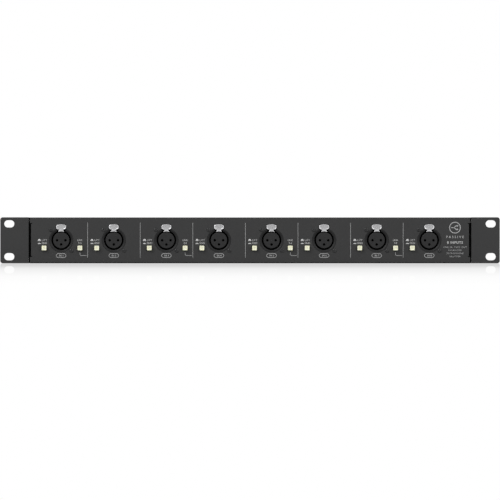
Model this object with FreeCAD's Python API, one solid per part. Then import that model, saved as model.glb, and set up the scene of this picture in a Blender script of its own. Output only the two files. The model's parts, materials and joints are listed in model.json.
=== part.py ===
import FreeCAD, Part
import math
import os

# Eight-channel microphone splitter in a one-unit 19-inch rack case.
# Millimetres. X runs left to right seen from the front, Y runs from front to rear, Z is up.
# Origin: middle of the plane where the ears' rear faces meet the rack rails.

V = FreeCAD.Vector
X_AXIS = V(1, 0, 0)
Y_AXIS = V(0, 1, 0)
Z_AXIS = V(0, 0, 1)

# Case
RACK_WIDTH = 482.6
UNIT_HEIGHT = 44.4
EAR_THICKNESS = 2.0
FRONT = -EAR_THICKNESS
BODY_DEPTH = 140.0
REAR = FRONT + BODY_DEPTH
TRAY_SHEET = 1.2
COVER_SHEET = 1.0
SHEET_GAP = 0.05
TRAY_HALF_WIDTH = 212.6
COVER_HALF_WIDTH = 213.7
FLOOR = -UNIT_HEIGHT / 2
FLOOR_TOP = FLOOR + TRAY_SHEET
PANEL_TOP = UNIT_HEIGHT / 2 - 0.15
LIP_DEPTH = 10.0
LIP_HALF_WIDTH = 210.5
COVER_TOP = PANEL_TOP - TRAY_SHEET - SHEET_GAP
COVER_UNDERSIDE = COVER_TOP - COVER_SHEET
REAR_PANEL_TOP = COVER_UNDERSIDE - SHEET_GAP
SIDE_TAB = (-15.3, 15.8)
SIDE_TAB_OUTER = 211.6
SIDE_TAB_BEND = 0.5
SIDE_TAB_DEPTH = 14.0
SIDE_WALL = (17.0, 132.0)
BEND_RELIEF = 0.8
COVER_FRONT = FRONT + TRAY_SHEET + 1.2
COVER_NOTCH = (10.0, 17.0)
COVER_RAISE = 0.2

# Rack ears
EAR_INNER = COVER_HALF_WIDTH
EAR_OUTER = RACK_WIDTH / 2
EAR_CORNER = 2.5
EAR_BEND = 1.0
FLANGE_DEPTH = 48.0
FLANGE_HALF_HEIGHT = 17.5
SLOT_X = 465.1 / 2
SLOT_Z = 31.75 / 2
SLOT_LENGTH = 9.8
SLOT_WIDTH = 7.0

# Screws: head radius and height, shank, clearance hole; the cross recess as shares of the head
CASE_HEAD = (2.7, 1.3)
CASE_SHANK = 1.5
CASE_HOLE = 1.6
JACK_HEAD = (1.75, 0.9)
JACK_SHANK = 1.1
JACK_HOLE = 1.2
JACK_SCREW_LENGTH = 8.0
JACK_SCREW_HOLE_DEPTH = 10.0
EAR_SCREW_LENGTH = 7.0
COVER_SCREW_LENGTH = 5.0
BOARD_SCREW_LENGTH = 6.5
HEAD_ROUNDING = 0.6
RECESS_REACH = 0.62
RECESS_BLADE = 0.14
RECESS_FLOOR = 0.35
EAR_SCREW_Y = (24.0, 42.0)
EAR_SCREW_Z = (-10.0, 10.0)
COVER_SIDE_SCREW_Y = (78.0, 122.0)
COVER_SIDE_SCREW_Z = 4.0
COVER_TOP_SCREW_X = (-140.0, 0.0, 140.0)
REAR_LIP_DEPTH = 12.0
COVER_TOP_SCREW_Y = REAR - REAR_LIP_DEPTH / 2

# Channels
CHANNELS = 8
CHANNEL_PITCH = 50.8
CHANNEL_X = [(i - (CHANNELS - 1) / 2) * CHANNEL_PITCH - 4.6 for i in range(CHANNELS)]

# Input sockets
COLLAR_RADIUS = 11.65
COLLAR_FACE = 10.7
COLLAR_SETBACK = 0.1
COLLAR_BEVEL = 0.8
COLLAR_GAP = 0.1
GROOVE_RADIUS = 9.45
GROOVE_DEPTH = 15.5
INSERT_RADIUS = 7.9
INSERT_SETBACK = 0.8
INSERT_ROUNDING = 0.5
CONTACT_CIRCLE = 4.05
CONTACT_HOLE = 1.2
CONTACT_WALL = 0.2
CONTACT_SETBACK = 4.5
CONTACT_SLIT = 0.3
CONTACT_SLIT_END = 7.0
CONTACT_FLOOR = 3.0
JACK_HALF_WIDTH = 12.0
JACK_BOTTOM = -13.2
JACK_TOP = 18.4
JACK_ROOF = 1.0
JACK_CORNER = 1.5
JACK_SCREW = 10.0

# Boards and the tails soldered into them
BOARD_SHEET = 1.6
BOARD_GAP = 0.1
FRONT_BOARD_Y = 17.0
FRONT_BOARD_Z = (-18.5, 18.3)
REAR_BOARD_Z = (-18.5, 17.6)
UPRIGHT_BOARD_HALF = 206.0
TAIL_RADIUS = 0.4
TAIL_HOLE = 0.5
TAIL_LENGTH = 1.4

# Latches: a push plate in front, a pivot above it and a hook inside the groove
LATCH_Z = 12.7
LATCH_LENGTH = 10.4
LATCH_WIDTH = 6.0
LATCH_SHEET = 1.2
LATCH_PROUD = 0.7
LATCH_EDGE_GAP = 0.3
LATCH_PIVOT = (1.5, 15.6)
LATCH_PIN_RADIUS = 0.7
LATCH_BORE = 0.75
LATCH_BOSS = 1.5
LATCH_ARM_WIDTH = 4.6
LATCH_ARM = (10.4, 12.2)
LATCH_HOOK = (5.5, 9.0)
LATCH_DROP = 0.5
LATCH_WELL = 2.2
LATCH_ROOM = 1.3
LATCH_PIN_HALF = 5.0
LATCH_PIN_ROOM = 0.2
LATCH_PIN_FIT = 0.02
ARM_ROOM_SIDE = 0.5
ARM_ROOM_BACK = 11.5
HOOK_BOTTOM = 8.9
HOOK_RAMP = 1.4
TONGUE_ARC = 8.5
TONGUE_HALF = (1.9, 2.75)
TONGUE_LOW = 7.6
TONGUE_SHEET = 1.5
TONGUE_SETBACK = 0.3
TONGUE_OVERLAP = 0.6
LEAF_SHEET = 0.25
LEAF_WIDTH = 3.2
LEAF_STATIONS = (11.2, 9.4, 5.4, 4.6)
LEAF_CURL = 0.5

# Push buttons
BUTTON_SIZE = 4.6
BUTTON_HOLE = 5.3
BUTTON_PROUD = 3.2
BUTTON_TRAVEL = 2.5
BUTTON_DEPTH = 7.0
BUTTON_Z = -7.5
BUTTON_CORNER = 0.5
BUTTON_RIM = 0.3
DISH_RADIUS = 30.0
DISH_DEPTH = 0.15
LIFT_BUTTON_DX = -16.4
LINK_BUTTON_DX = 18.15
STEM = 3.0
STEM_END = 12.5
STEM_ROOM = 0.25
SWITCH_BODY = (8.0, 8.4)
SWITCH_FRONT = 7.5
SWITCH_WELL_SPARE = 0.4
TERMINAL_X = (-2.5, 2.5)
TERMINAL_Z = (-2.5, 0.0, 2.5)
TERMINAL_SIZE = (0.6, 0.3)
TERMINAL_LENGTH = 1.2
TERMINAL_HOLE = 0.45

# Output sockets
OUTPUTS = 16
OUTPUT_PITCH = 25.4
OUTPUT_X = [(i - (OUTPUTS - 1) / 2) * OUTPUT_PITCH for i in range(OUTPUTS)]
OUTPUT_COLLAR = 11.0
OUTPUT_BORE = 8.2
OUTPUT_MOUTH = 9.4
OUTPUT_BODY_FRONT = 123.0
OUTPUT_BODY_Z = (-13.2, 13.2)
KEYWAY_HALF = 1.2
KEYWAY_TOP = 9.1
KEYWAY_DEPTH = 11.0
INSULATOR_DEPTH = 3.0
PIN_RADIUS = 1.18
PIN_FIT = 0.01
PIN_TIP = REAR - 1.6
PIN_ROUNDING = 0.9
REAR_BOARD_Y = 119.5

# Transformer board
MAIN_BOARD_X = 196.0
MAIN_BOARD_Y = (38.0, 104.0)
MAIN_BOARD_Z = -14.0
TRANSFORMER_X = [(i - (CHANNELS - 1) / 2) * 48.0 for i in range(CHANNELS)]
TRANSFORMER_Y = 70.0
BOARD_TOP = MAIN_BOARD_Z + BOARD_SHEET
CORE = (9.0, 4.0, 17.0)
CORE_YOKE = 3.0
CORE_LIFT = 1.0
WINDOW = (3.0, 6.2)
BOBBIN_WALL = 0.6
CHEEK_SHEET = 0.8
CHEEK_DEPTH = 9.0
WINDING_DEPTH = 8.6
WINDING_CORNER = 2.0
CAN_HALF = 12.0
CAN_HEIGHT = 22.0
CAN_SHEET = 0.8
CAN_CORNER = 2.0
PILLAR_POINTS = [(x, y) for x in (-190.0, 0.0, 190.0) for y in (43.0, 99.0)]
PILLAR_RADIUS = 3.0
SMALL_PART_Y = 17.0
RESISTOR_DX = -5.0
RESISTOR_BODY = (1.0, 2.6)
RESISTOR_END = (1.2, 2.0, 3.2)
RESISTOR_LEAD = (0.3, 4.6)
RESISTOR_LIFT = 1.6
CAPACITOR_DX = 7.0
CAPACITOR_HALF = (3.6, 1.6)
CAPACITOR_HEIGHT = 6.5
CAPACITOR_CORNER = 0.4
RIBBON_X = (-100.0, 100.0)
RIBBON_WIDTH = 36.0
RIBBON_THICKNESS = 0.9
RIBBON_BEND = 3.0
HEADER_DEPTH = 6.0
HEADER_HALF = 3.0
HEADER_END = 1.5
HEADER_INSET = 5.0
UPRIGHT_HEADER_Z = 8.0

# Earth connection
EARTH_POINT = (-60.0, 28.0)
EARTH_STUD = 1.9
STUD_HEIGHT = 6.0
LUG_SHEET = 0.8
LUG_EYE = 4.0
LUG_TAIL = (2.0, 9.0, 1.5)
LUG_BARREL = (8.0, 14.0)
LUG_BARREL_RADIUS = 1.8
NUT_HEIGHT = 2.4
NUT_CORNER = 4.0
WIRE_RADIUS = 1.0
WIRE_REACH = (30.0, 4.0)
WIRE_INSIDE_BARREL = 1.5
WIRE_STRAIGHT = 1.0
WIRE_BELLY = (27.0, 3.0, -13.0)
WIRE_CREST = (-4.0, 6.0)
WIRE_PULL = (8.0, -12.0)

# Clearances used again and again
CUT = 1.0
HOLE_DEPTH = 8.0


def box(x, y, z):
    """A block from its low and high limits on each axis."""
    return Part.makeBox(x[1] - x[0], y[1] - y[0], z[1] - z[0], V(x[0], y[0], z[0]))


def rod(radius, start, end):
    """A cylinder from one point to another."""
    direction = end - start
    return Part.makeCylinder(radius, direction.Length, start, direction)


def rod_y(radius, x, z, y):
    """A cylinder along Y between the two limits in y."""
    return rod(radius, V(x, y[0], z), V(x, y[1], z))


def obround_y(x, z, length, width, y):
    """A slot-shaped prism along Y, its long side along X."""
    half = (length - width) / 2
    middle = box((x - half, x + half), y, (z - width / 2, z + width / 2))
    ends = [rod_y(width / 2, x + side * half, z, y) for side in (-1, 1)]
    return middle.multiFuse(ends).removeSplitter()


def prism(points, direction):
    """A flat outline of corner points, pushed along a vector."""
    outline = Part.makePolygon(points + [points[0]])
    return Part.Face(outline).extrude(direction)


def edges_at(shape, axis, **place):
    """Straight edges along an axis whose middle lies at the given coordinates."""
    found = []
    for edge in shape.Edges:
        ends = edge.Vertexes[-1].Point - edge.Vertexes[0].Point
        if edge.Curve.TypeId != "Part::GeomLine" or ends.cross(axis).Length > 1e-6:
            continue
        middle = edge.CenterOfMass
        if all(abs(getattr(middle, name) - value) < 1e-3 for name, value in place.items()):
            found.append(edge)
    return found


def moved(shape, x=0.0, y=0.0, z=0.0):
    """A copy of a shape at an offset."""
    copy = shape.copy()
    copy.translate(V(x, y, z))
    return copy


def mirrored_x(shape):
    """The mirror image of a shape across the plane x = 0."""
    return shape.mirror(V(0, 0, 0), X_AXIS)


def save(node, solids):
    """Write one node, checking that each of its solids is whole."""
    pieces = [solid for shape in solids for solid in shape.Solids]
    for piece in pieces:
        if not piece.isValid():
            raise ValueError(node + " has a broken solid")
    Part.makeCompound(pieces).exportStep("parts/" + node + ".step")


# Fasteners

def screw(head, shank_radius, shank_length):
    """A pan-head screw with a cross recess: head above the origin, shank along -Z."""
    radius, height = head
    body = Part.makeCylinder(radius, height)
    body = body.makeFillet(height * HEAD_ROUNDING, edges_round(body, height))
    body = body.fuse(rod(shank_radius, V(0, 0, -shank_length), V(0, 0, height / 2)))
    arm = radius * RECESS_REACH
    blade = radius * RECESS_BLADE
    floor = height * RECESS_FLOOR
    for reach_x, reach_y in ((arm, blade), (blade, arm)):
        body = body.cut(box((-reach_x, reach_x), (-reach_y, reach_y), (floor, height + CUT)))
    return body.removeSplitter()


def edges_round(shape, height):
    """The circular edge of an upright cylinder at one height."""
    return [e for e in shape.Edges if e.Closed and abs(e.CenterOfMass.z - height) < 1e-6]


def placed(shape, point, outward):
    """A shape built along Z, set at a point and turned to face outward."""
    copy = shape.copy()
    copy.Placement = FreeCAD.Placement(point, FreeCAD.Rotation(Z_AXIS, outward))
    return copy


def ear_screw_points():
    """Where the ear screws sit on the right-hand ear's flange."""
    x = EAR_INNER + EAR_THICKNESS
    return [V(x, y, z) for y in EAR_SCREW_Y for z in EAR_SCREW_Z]


def cover_side_points():
    """Where the cover's side screws sit on the right-hand wall."""
    return [V(COVER_HALF_WIDTH, y, COVER_SIDE_SCREW_Z) for y in COVER_SIDE_SCREW_Y]


def cover_top_points():
    """Where the cover's top screws sit near the rear edge."""
    return [V(x, COVER_TOP_SCREW_Y, COVER_TOP) for x in COVER_TOP_SCREW_X]


def side_holes(points, radius, depth):
    """Holes along X through both sides of the case."""
    holes = []
    for point in points:
        for side in (-1, 1):
            start = V(side * (point.x + CUT), point.y, point.z)
            end = V(side * (point.x - depth), point.y, point.z)
            holes.append(rod(radius, start, end))
    return holes


def top_holes(radius, depth):
    """Holes along Z through the cover and the rear lip."""
    return [rod(radius, p + V(0, 0, CUT), p - V(0, 0, depth)) for p in cover_top_points()]


def case_screws():
    """Ear screws and cover screws."""
    ear = screw(CASE_HEAD, CASE_SHANK, EAR_SCREW_LENGTH)
    cover = screw(CASE_HEAD, CASE_SHANK, COVER_SCREW_LENGTH)
    ears = []
    covers = [placed(cover, point, Z_AXIS) for point in cover_top_points()]
    for side in (-1, 1):
        outward = X_AXIS * side
        for point in ear_screw_points():
            ears.append(placed(ear, V(side * point.x, point.y, point.z), outward))
        for point in cover_side_points():
            covers.append(placed(cover, V(side * point.x, point.y, point.z), outward))
    save("ear_screws", ears)
    save("cover_screws", covers)


def jack_screws():
    """Two small black screws across the diagonal of each socket, front and rear."""
    small = screw(JACK_HEAD, JACK_SHANK, JACK_SCREW_LENGTH)
    front = []
    rear = []
    for x in CHANNEL_X:
        for side in (-1, 1):
            point = V(x + side * JACK_SCREW, FRONT, -side * JACK_SCREW)
            front.append(placed(small, point, -Y_AXIS))
    for x in OUTPUT_X:
        for side in (-1, 1):
            point = V(x + side * JACK_SCREW, REAR, side * JACK_SCREW)
            rear.append(placed(small, point, Y_AXIS))
    save("input_screws", front)
    save("output_screws", rear)


# Case

def button_places():
    """Names and centres of all push buttons."""
    places = []
    for number, x in enumerate(CHANNEL_X, 1):
        places.append(("lift_button_%d" % number, x + LIFT_BUTTON_DX))
    for first in range(1, CHANNELS, 2):
        name = "link_button_%d_%d" % (first, first + 1)
        places.append((name, CHANNEL_X[first - 1] + LINK_BUTTON_DX))
    return places


def front_openings():
    """Everything cut through the front panel."""
    through = (FRONT - CUT, FRONT + TRAY_SHEET + CUT)
    cutters = []
    for x in CHANNEL_X:
        cutters.append(rod_y(COLLAR_RADIUS + COLLAR_GAP, x, 0, through))
        cutters.append(latch_pocket(through, COLLAR_GAP, x))
        for side in (-1, 1):
            cutters.append(rod_y(JACK_HOLE, x + side * JACK_SCREW, -side * JACK_SCREW, through))
    half = BUTTON_HOLE / 2
    for _, x in button_places():
        cutters.append(box((x - half, x + half), through, (BUTTON_Z - half, BUTTON_Z + half)))
    return cutters


def rear_openings():
    """Everything cut through the rear panel."""
    through = (REAR - TRAY_SHEET - CUT, REAR + CUT)
    cutters = []
    for x in OUTPUT_X:
        cutters.append(rod_y(OUTPUT_COLLAR + COLLAR_GAP, x, 0, through))
        for side in (-1, 1):
            cutters.append(rod_y(JACK_HOLE, x + side * JACK_SCREW, side * JACK_SCREW, through))
    return cutters


def with_side_tabs(tray):
    """The panel's side edges, notched at mid-height and folded back there as narrow tabs."""
    through = (FRONT - CUT, FRONT + TRAY_SHEET + CUT)
    notches = []
    tabs = []
    for side in (-1, 1):
        outside = side * (TRAY_HALF_WIDTH + CUT)
        face = side * SIDE_TAB_OUTER
        back = side * (SIDE_TAB_OUTER - TRAY_SHEET)
        notches.append(box(sorted((outside, face)), through, SIDE_TAB))
        for low in (SIDE_TAB[0] - BEND_RELIEF, SIDE_TAB[1]):
            notches.append(box(sorted((outside, back)), through, (low, low + BEND_RELIEF)))
        tabs.append(box(sorted((face, back)), (FRONT, FRONT + SIDE_TAB_DEPTH), SIDE_TAB))
    tray = tray.cut(notches).multiFuse(tabs).removeSplitter()
    middle = sum(SIDE_TAB) / 2
    folds = [e for side in (-1, 1)
             for e in edges_at(tray, Z_AXIS, x=side * SIDE_TAB_OUTER, y=FRONT, z=middle)]
    return tray.makeFillet(SIDE_TAB_BEND, folds)


def chassis_tray():
    """One folded sheet: front panel with top lip, floor, side walls and rear panel."""
    width = (-TRAY_HALF_WIDTH, TRAY_HALF_WIDTH)
    lip = (-LIP_HALF_WIDTH, LIP_HALF_WIDTH)
    sheets = [
        box(width, (FRONT, REAR), (FLOOR, FLOOR_TOP)),
        box(width, (REAR - TRAY_SHEET, REAR), (FLOOR, REAR_PANEL_TOP)),
        box(lip, (FRONT, FRONT + LIP_DEPTH), (PANEL_TOP - TRAY_SHEET, PANEL_TOP)),
        box(lip, (REAR - REAR_LIP_DEPTH, REAR), (REAR_PANEL_TOP - TRAY_SHEET, REAR_PANEL_TOP)),
    ]
    for side in (-1, 1):
        wall = sorted((side * TRAY_HALF_WIDTH, side * (TRAY_HALF_WIDTH - TRAY_SHEET)))
        sheets.append(box(wall, SIDE_WALL, (FLOOR, SIDE_TAB[1])))
    tray = box(width, (FRONT, FRONT + TRAY_SHEET), (FLOOR, PANEL_TOP)).multiFuse(sheets)
    tray = tray.removeSplitter()
    tray = with_side_tabs(tray)
    bends = edges_at(tray, X_AXIS, y=FRONT, z=FLOOR)
    bends += edges_at(tray, X_AXIS, y=REAR, z=FLOOR)
    tray = tray.makeFillet(TRAY_SHEET, bends)
    holes = side_holes(ear_screw_points(), CASE_SHANK + SHEET_GAP, HOLE_DEPTH)
    holes += side_holes(cover_side_points(), CASE_SHANK + SHEET_GAP, HOLE_DEPTH)
    holes += top_holes(CASE_SHANK + SHEET_GAP, HOLE_DEPTH)
    x, y = EARTH_POINT
    stud = rod(EARTH_STUD, V(x, y, FLOOR_TOP - SHEET_GAP), V(x, y, FLOOR_TOP + STUD_HEIGHT))
    tray = tray.cut(front_openings() + rear_openings() + holes)
    return tray.fuse(stud)


def top_cover():
    """A folded lid: its front edge tucks under the panel's lip, its sides go outside the tray."""
    width = (-COVER_HALF_WIDTH, COVER_HALF_WIDTH)
    depth = (COVER_FRONT, REAR)
    height = (FLOOR + COVER_RAISE, COVER_TOP)
    cover = box(width, depth, height)
    folds = edges_at(cover, Y_AXIS, x=width[0], z=COVER_TOP)
    folds += edges_at(cover, Y_AXIS, x=width[1], z=COVER_TOP)
    cover = cover.makeFillet(COVER_SHEET, folds)
    inside = (-COVER_HALF_WIDTH + COVER_SHEET, COVER_HALF_WIDTH - COVER_SHEET)
    hollow = box(inside, (depth[0] - CUT, REAR + CUT), (FLOOR - CUT, COVER_UNDERSIDE))
    notch_depth, notch_half = COVER_NOTCH
    outside = (-COVER_HALF_WIDTH - CUT, COVER_HALF_WIDTH + CUT)
    notch = box(outside, (depth[0] - CUT, notch_depth), (-notch_half, notch_half))
    holes = side_holes(ear_screw_points(), CASE_HOLE, HOLE_DEPTH)
    holes += side_holes(cover_side_points(), CASE_HOLE, HOLE_DEPTH)
    return cover.cut([hollow, notch] + holes + top_holes(CASE_HOLE, HOLE_DEPTH))


def rack_ear():
    """The right-hand ear: a slotted plate with a flange folded back along the case."""
    plate = box((EAR_INNER, EAR_OUTER), (FRONT, 0.0), (-UNIT_HEIGHT / 2, UNIT_HEIGHT / 2))
    corners = []
    for side in (-1, 1):
        corners += edges_at(plate, Y_AXIS, x=EAR_OUTER, z=side * UNIT_HEIGHT / 2)
    plate = plate.makeFillet(EAR_CORNER, corners)
    flange_x = (EAR_INNER, EAR_INNER + EAR_THICKNESS)
    flange_z = (-FLANGE_HALF_HEIGHT, FLANGE_HALF_HEIGHT)
    flange = box(flange_x, (0.0, FLANGE_DEPTH), flange_z)
    back_corners = []
    for side in (-1, 1):
        back_corners += edges_at(flange, X_AXIS, y=FLANGE_DEPTH, z=side * FLANGE_HALF_HEIGHT)
    flange = flange.makeFillet(EAR_CORNER, back_corners)
    ear = plate.fuse(flange).removeSplitter()
    ear = ear.makeFillet(EAR_BEND, edges_at(ear, Z_AXIS, x=EAR_INNER, y=FRONT))
    cutters = []
    for side in (-1, 1):
        through = (FRONT - CUT, CUT)
        cutters.append(obround_y(SLOT_X, side * SLOT_Z, SLOT_LENGTH, SLOT_WIDTH, through))
    for point in ear_screw_points():
        cutters.append(rod(CASE_HOLE, point + X_AXIS * CUT, point - X_AXIS * (2 * CUT + 1)))
    return ear.cut(cutters)


# Input sockets and latches

def latch_pocket(y, gap, x=0.0):
    """The oval well that the push plate sits in, with room below for it to swing."""
    length = LATCH_LENGTH + 2 * gap
    width = LATCH_WIDTH + 2 * gap
    return obround_y(x, LATCH_Z, length, width, y)


def contact_points():
    """The three contacts of a socket, two across and one below."""
    return [(-CONTACT_CIRCLE, 0.0), (CONTACT_CIRCLE, 0.0), (0.0, -CONTACT_CIRCLE)]


def input_housing():
    """A black housing behind the panel with a round collar in the panel's opening."""
    inner_face = FRONT + TRAY_SHEET + SHEET_GAP
    back = FRONT_BOARD_Y - BOARD_GAP
    body = box((-JACK_HALF_WIDTH, JACK_HALF_WIDTH), (inner_face, back), (JACK_BOTTOM, JACK_TOP))
    corners = []
    for side in (-1, 1):
        for z in (JACK_BOTTOM, JACK_TOP):
            corners += edges_at(body, Y_AXIS, x=side * JACK_HALF_WIDTH, z=z)
    body = body.makeFillet(JACK_CORNER, corners)
    face = FRONT + COLLAR_SETBACK
    collar = rod_y(COLLAR_RADIUS, 0, 0, (face, inner_face + CUT))
    housing = body.fuse(collar).removeSplitter()
    mouth = Part.makeCone(COLLAR_FACE, GROOVE_RADIUS, COLLAR_BEVEL, V(0, face, 0), Y_AXIS)
    plate_room = (FRONT - CUT, LATCH_WELL)
    tongue_slot = LATCH_LENGTH / 2 - LATCH_ROOM
    arm_slot = LATCH_ARM_WIDTH / 2 + ARM_ROOM_SIDE
    pin_reach = LATCH_PIN_HALF + LATCH_PIN_ROOM
    cutters = [
        mouth,
        rod_y(GROOVE_RADIUS, 0, 0, (FRONT - CUT, back + CUT)),
        latch_pocket(plate_room, -SHEET_GAP),
        moved(latch_pocket(plate_room, -SHEET_GAP), z=-LATCH_DROP),
        box((-tongue_slot, tongue_slot), plate_room, (0.0, LATCH_Z)),
        box((-arm_slot, arm_slot), (FRONT - CUT, ARM_ROOM_BACK), (0.0, JACK_TOP - JACK_ROOF)),
        rod(LATCH_PIN_RADIUS + LATCH_PIN_FIT, V(-pin_reach, *LATCH_PIVOT), V(pin_reach, *LATCH_PIVOT)),
    ]
    screw_hole = (FRONT, FRONT + JACK_SCREW_HOLE_DEPTH)
    for side in (-1, 1):
        cutters.append(rod_y(JACK_HOLE, side * JACK_SCREW, -side * JACK_SCREW, screw_hole))
    return housing.cut(cutters)


def input_insert():
    """The insulator: a round nose in the groove, closed by a flange at the bottom."""
    face = FRONT + INSERT_SETBACK
    back = FRONT_BOARD_Y - 2 * BOARD_GAP
    nose = rod_y(INSERT_RADIUS, 0, 0, (face, back))
    rim = [e for e in nose.Edges if e.Closed and abs(e.CenterOfMass.y - face) < 1e-6]
    nose = nose.makeFillet(INSERT_ROUNDING, rim)
    flange = rod_y(GROOVE_RADIUS - SHEET_GAP, 0, 0, (FRONT + GROOVE_DEPTH, back))
    holes = [rod_y(CONTACT_HOLE, x, z, (FRONT - CUT, FRONT_BOARD_Y)) for x, z in contact_points()]
    return nose.fuse(flange).cut(holes)


def input_contacts():
    """Three split-barrel contacts, each with a tail through the front board."""
    contacts = []
    for x, z in contact_points():
        outer = CONTACT_HOLE - SHEET_GAP
        barrel = rod_y(outer, x, z, (FRONT + CONTACT_SETBACK, FRONT_BOARD_Y - 4 * BOARD_GAP))
        bore = rod_y(outer - CONTACT_WALL, x, z, (FRONT, FRONT_BOARD_Y - CONTACT_FLOOR))
        across = (x - CONTACT_SLIT / 2, x + CONTACT_SLIT / 2)
        slit = box(across, (FRONT, CONTACT_SLIT_END), (z - CUT - outer, z + CUT + outer))
        tail = rod_y(TAIL_RADIUS, x, z, (FRONT_BOARD_Y - CUT, FRONT_BOARD_Y + BOARD_SHEET + TAIL_LENGTH))
        contacts.append(barrel.cut([bore, slit]).fuse(tail))
    return contacts


def latch():
    """A push plate, a tongue that shows in the groove, and an arm with a hook behind."""
    front = FRONT - LATCH_PROUD
    back = front + LATCH_SHEET
    plate = latch_pocket((front, back), -LATCH_EDGE_GAP)
    low = LATCH_Z - LATCH_WIDTH / 2 + TONGUE_OVERLAP
    neck, tip = TONGUE_HALF
    face = front + TONGUE_SETBACK
    tongue = prism([V(-neck, face, low), V(neck, face, low),
                    V(tip, face, TONGUE_LOW), V(-tip, face, TONGUE_LOW)], Y_AXIS * TONGUE_SHEET)
    swept = rod_y(TONGUE_ARC, 0, 0, (front - CUT, LATCH_HOOK[0]))
    tongue = tongue.cut(swept)
    half = LATCH_ARM_WIDTH / 2
    arm = box((-half, half), (back - TONGUE_SETBACK, LATCH_HOOK[1]), LATCH_ARM)
    hook_front, hook_back = LATCH_HOOK
    hook = prism([V(-half, hook_front, LATCH_ARM[0]), V(-half, hook_front + HOOK_RAMP, HOOK_BOTTOM),
                  V(-half, hook_back, HOOK_BOTTOM), V(-half, hook_back, LATCH_ARM[0])],
                 X_AXIS * LATCH_ARM_WIDTH)
    y, z = LATCH_PIVOT
    web = box((-half, half), (y - LATCH_BOSS, y + LATCH_BOSS), (LATCH_ARM[0], z))
    boss = rod(LATCH_BOSS, V(-half, y, z), V(half, y, z))
    bore = rod(LATCH_BORE, V(-half - CUT, y, z), V(half + CUT, y, z))
    pieces = [tongue, arm, hook, web, boss]
    return plate.multiFuse(pieces).cut(bore).removeSplitter()


def latch_pin():
    """The pin that a latch turns on."""
    y, z = LATCH_PIVOT
    return rod(LATCH_PIN_RADIUS, V(-LATCH_PIN_HALF, y, z), V(LATCH_PIN_HALF, y, z))


def latch_spring():
    """A leaf spring: flat against the housing's roof, then sloping down to the latch's arm."""
    roof = JACK_TOP - JACK_ROOF - LEAF_SHEET
    arm = LATCH_ARM[1] + LEAF_SHEET
    back, bend, foot, toe = LEAF_STATIONS
    middle_line = [V(0, back, roof), V(0, bend, roof), V(0, foot, arm), V(0, toe, arm + LEAF_CURL)]
    outline = Part.makePolygon(middle_line).makeOffset2D(LEAF_SHEET / 2)
    leaf = Part.Face(outline).extrude(X_AXIS * LEAF_WIDTH)
    return moved(leaf, x=-LEAF_WIDTH / 2)


def front_sockets():
    """All eight input sockets and their latches."""
    housing = input_housing()
    insert = input_insert()
    contacts = input_contacts()
    save("input_housings", [moved(housing, x) for x in CHANNEL_X])
    save("input_inserts", [moved(insert, x) for x in CHANNEL_X])
    save("input_contacts", [moved(contact, x) for x in CHANNEL_X for contact in contacts])
    save("latch_pivot_pins", [moved(latch_pin(), x) for x in CHANNEL_X])
    save("latch_springs", [moved(latch_spring(), x) for x in CHANNEL_X])
    lever = latch()
    for number, x in enumerate(CHANNEL_X, 1):
        save("latch_%d" % number, [moved(lever, x)])


# Push buttons

def button():
    """A square cap with a slightly dished face and a stem that runs into the switch."""
    half = BUTTON_SIZE / 2
    front = FRONT - BUTTON_PROUD
    cap = box((-half, half), (front, front + BUTTON_DEPTH), (-half, half))
    rounded = []
    for x in (-half, half):
        for z in (-half, half):
            rounded += edges_at(cap, Y_AXIS, x=x, z=z)
    cap = cap.makeFillet(BUTTON_CORNER, rounded)
    rim = [e for e in cap.Edges if abs(e.CenterOfMass.y - front) < 1e-6]
    cap = cap.makeFillet(BUTTON_RIM, rim)
    dish = Part.makeSphere(DISH_RADIUS, V(0, front + DISH_DEPTH - DISH_RADIUS, 0))
    stem_half = STEM / 2
    stem = box((-stem_half, stem_half), (front + BUTTON_DEPTH - CUT, STEM_END), (-stem_half, stem_half))
    return cap.cut(dish).fuse(stem)


def switch_housing():
    """A square switch body with a square well for the stem."""
    half_x = SWITCH_BODY[0] / 2
    half_z = SWITCH_BODY[1] / 2
    back = FRONT_BOARD_Y - BOARD_GAP
    body = box((-half_x, half_x), (SWITCH_FRONT, back), (-half_z, half_z))
    well = STEM / 2 + STEM_ROOM
    bottom = STEM_END + BUTTON_TRAVEL + SWITCH_WELL_SPARE
    return body.cut(box((-well, well), (SWITCH_FRONT - CUT, bottom), (-well, well)))


def switch_terminals():
    """Six flat terminals from a switch through the front board."""
    terminals = []
    y = (FRONT_BOARD_Y - BOARD_GAP, FRONT_BOARD_Y + BOARD_SHEET + TERMINAL_LENGTH)
    half_x, half_z = [size / 2 for size in TERMINAL_SIZE]
    for x in TERMINAL_X:
        for z in TERMINAL_Z:
            terminals.append(box((x - half_x, x + half_x), y, (z - half_z, z + half_z)))
    return terminals


def buttons():
    """All caps, switch bodies and terminals."""
    cap = button()
    housing = switch_housing()
    terminals = switch_terminals()
    housings = []
    legs = []
    for name, x in button_places():
        save(name, [moved(cap, x, 0, BUTTON_Z)])
        housings.append(moved(housing, x, 0, BUTTON_Z))
        legs += [moved(leg, x, 0, BUTTON_Z) for leg in terminals]
    save("switch_housings", housings)
    save("switch_terminals", legs)


# Output sockets

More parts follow.
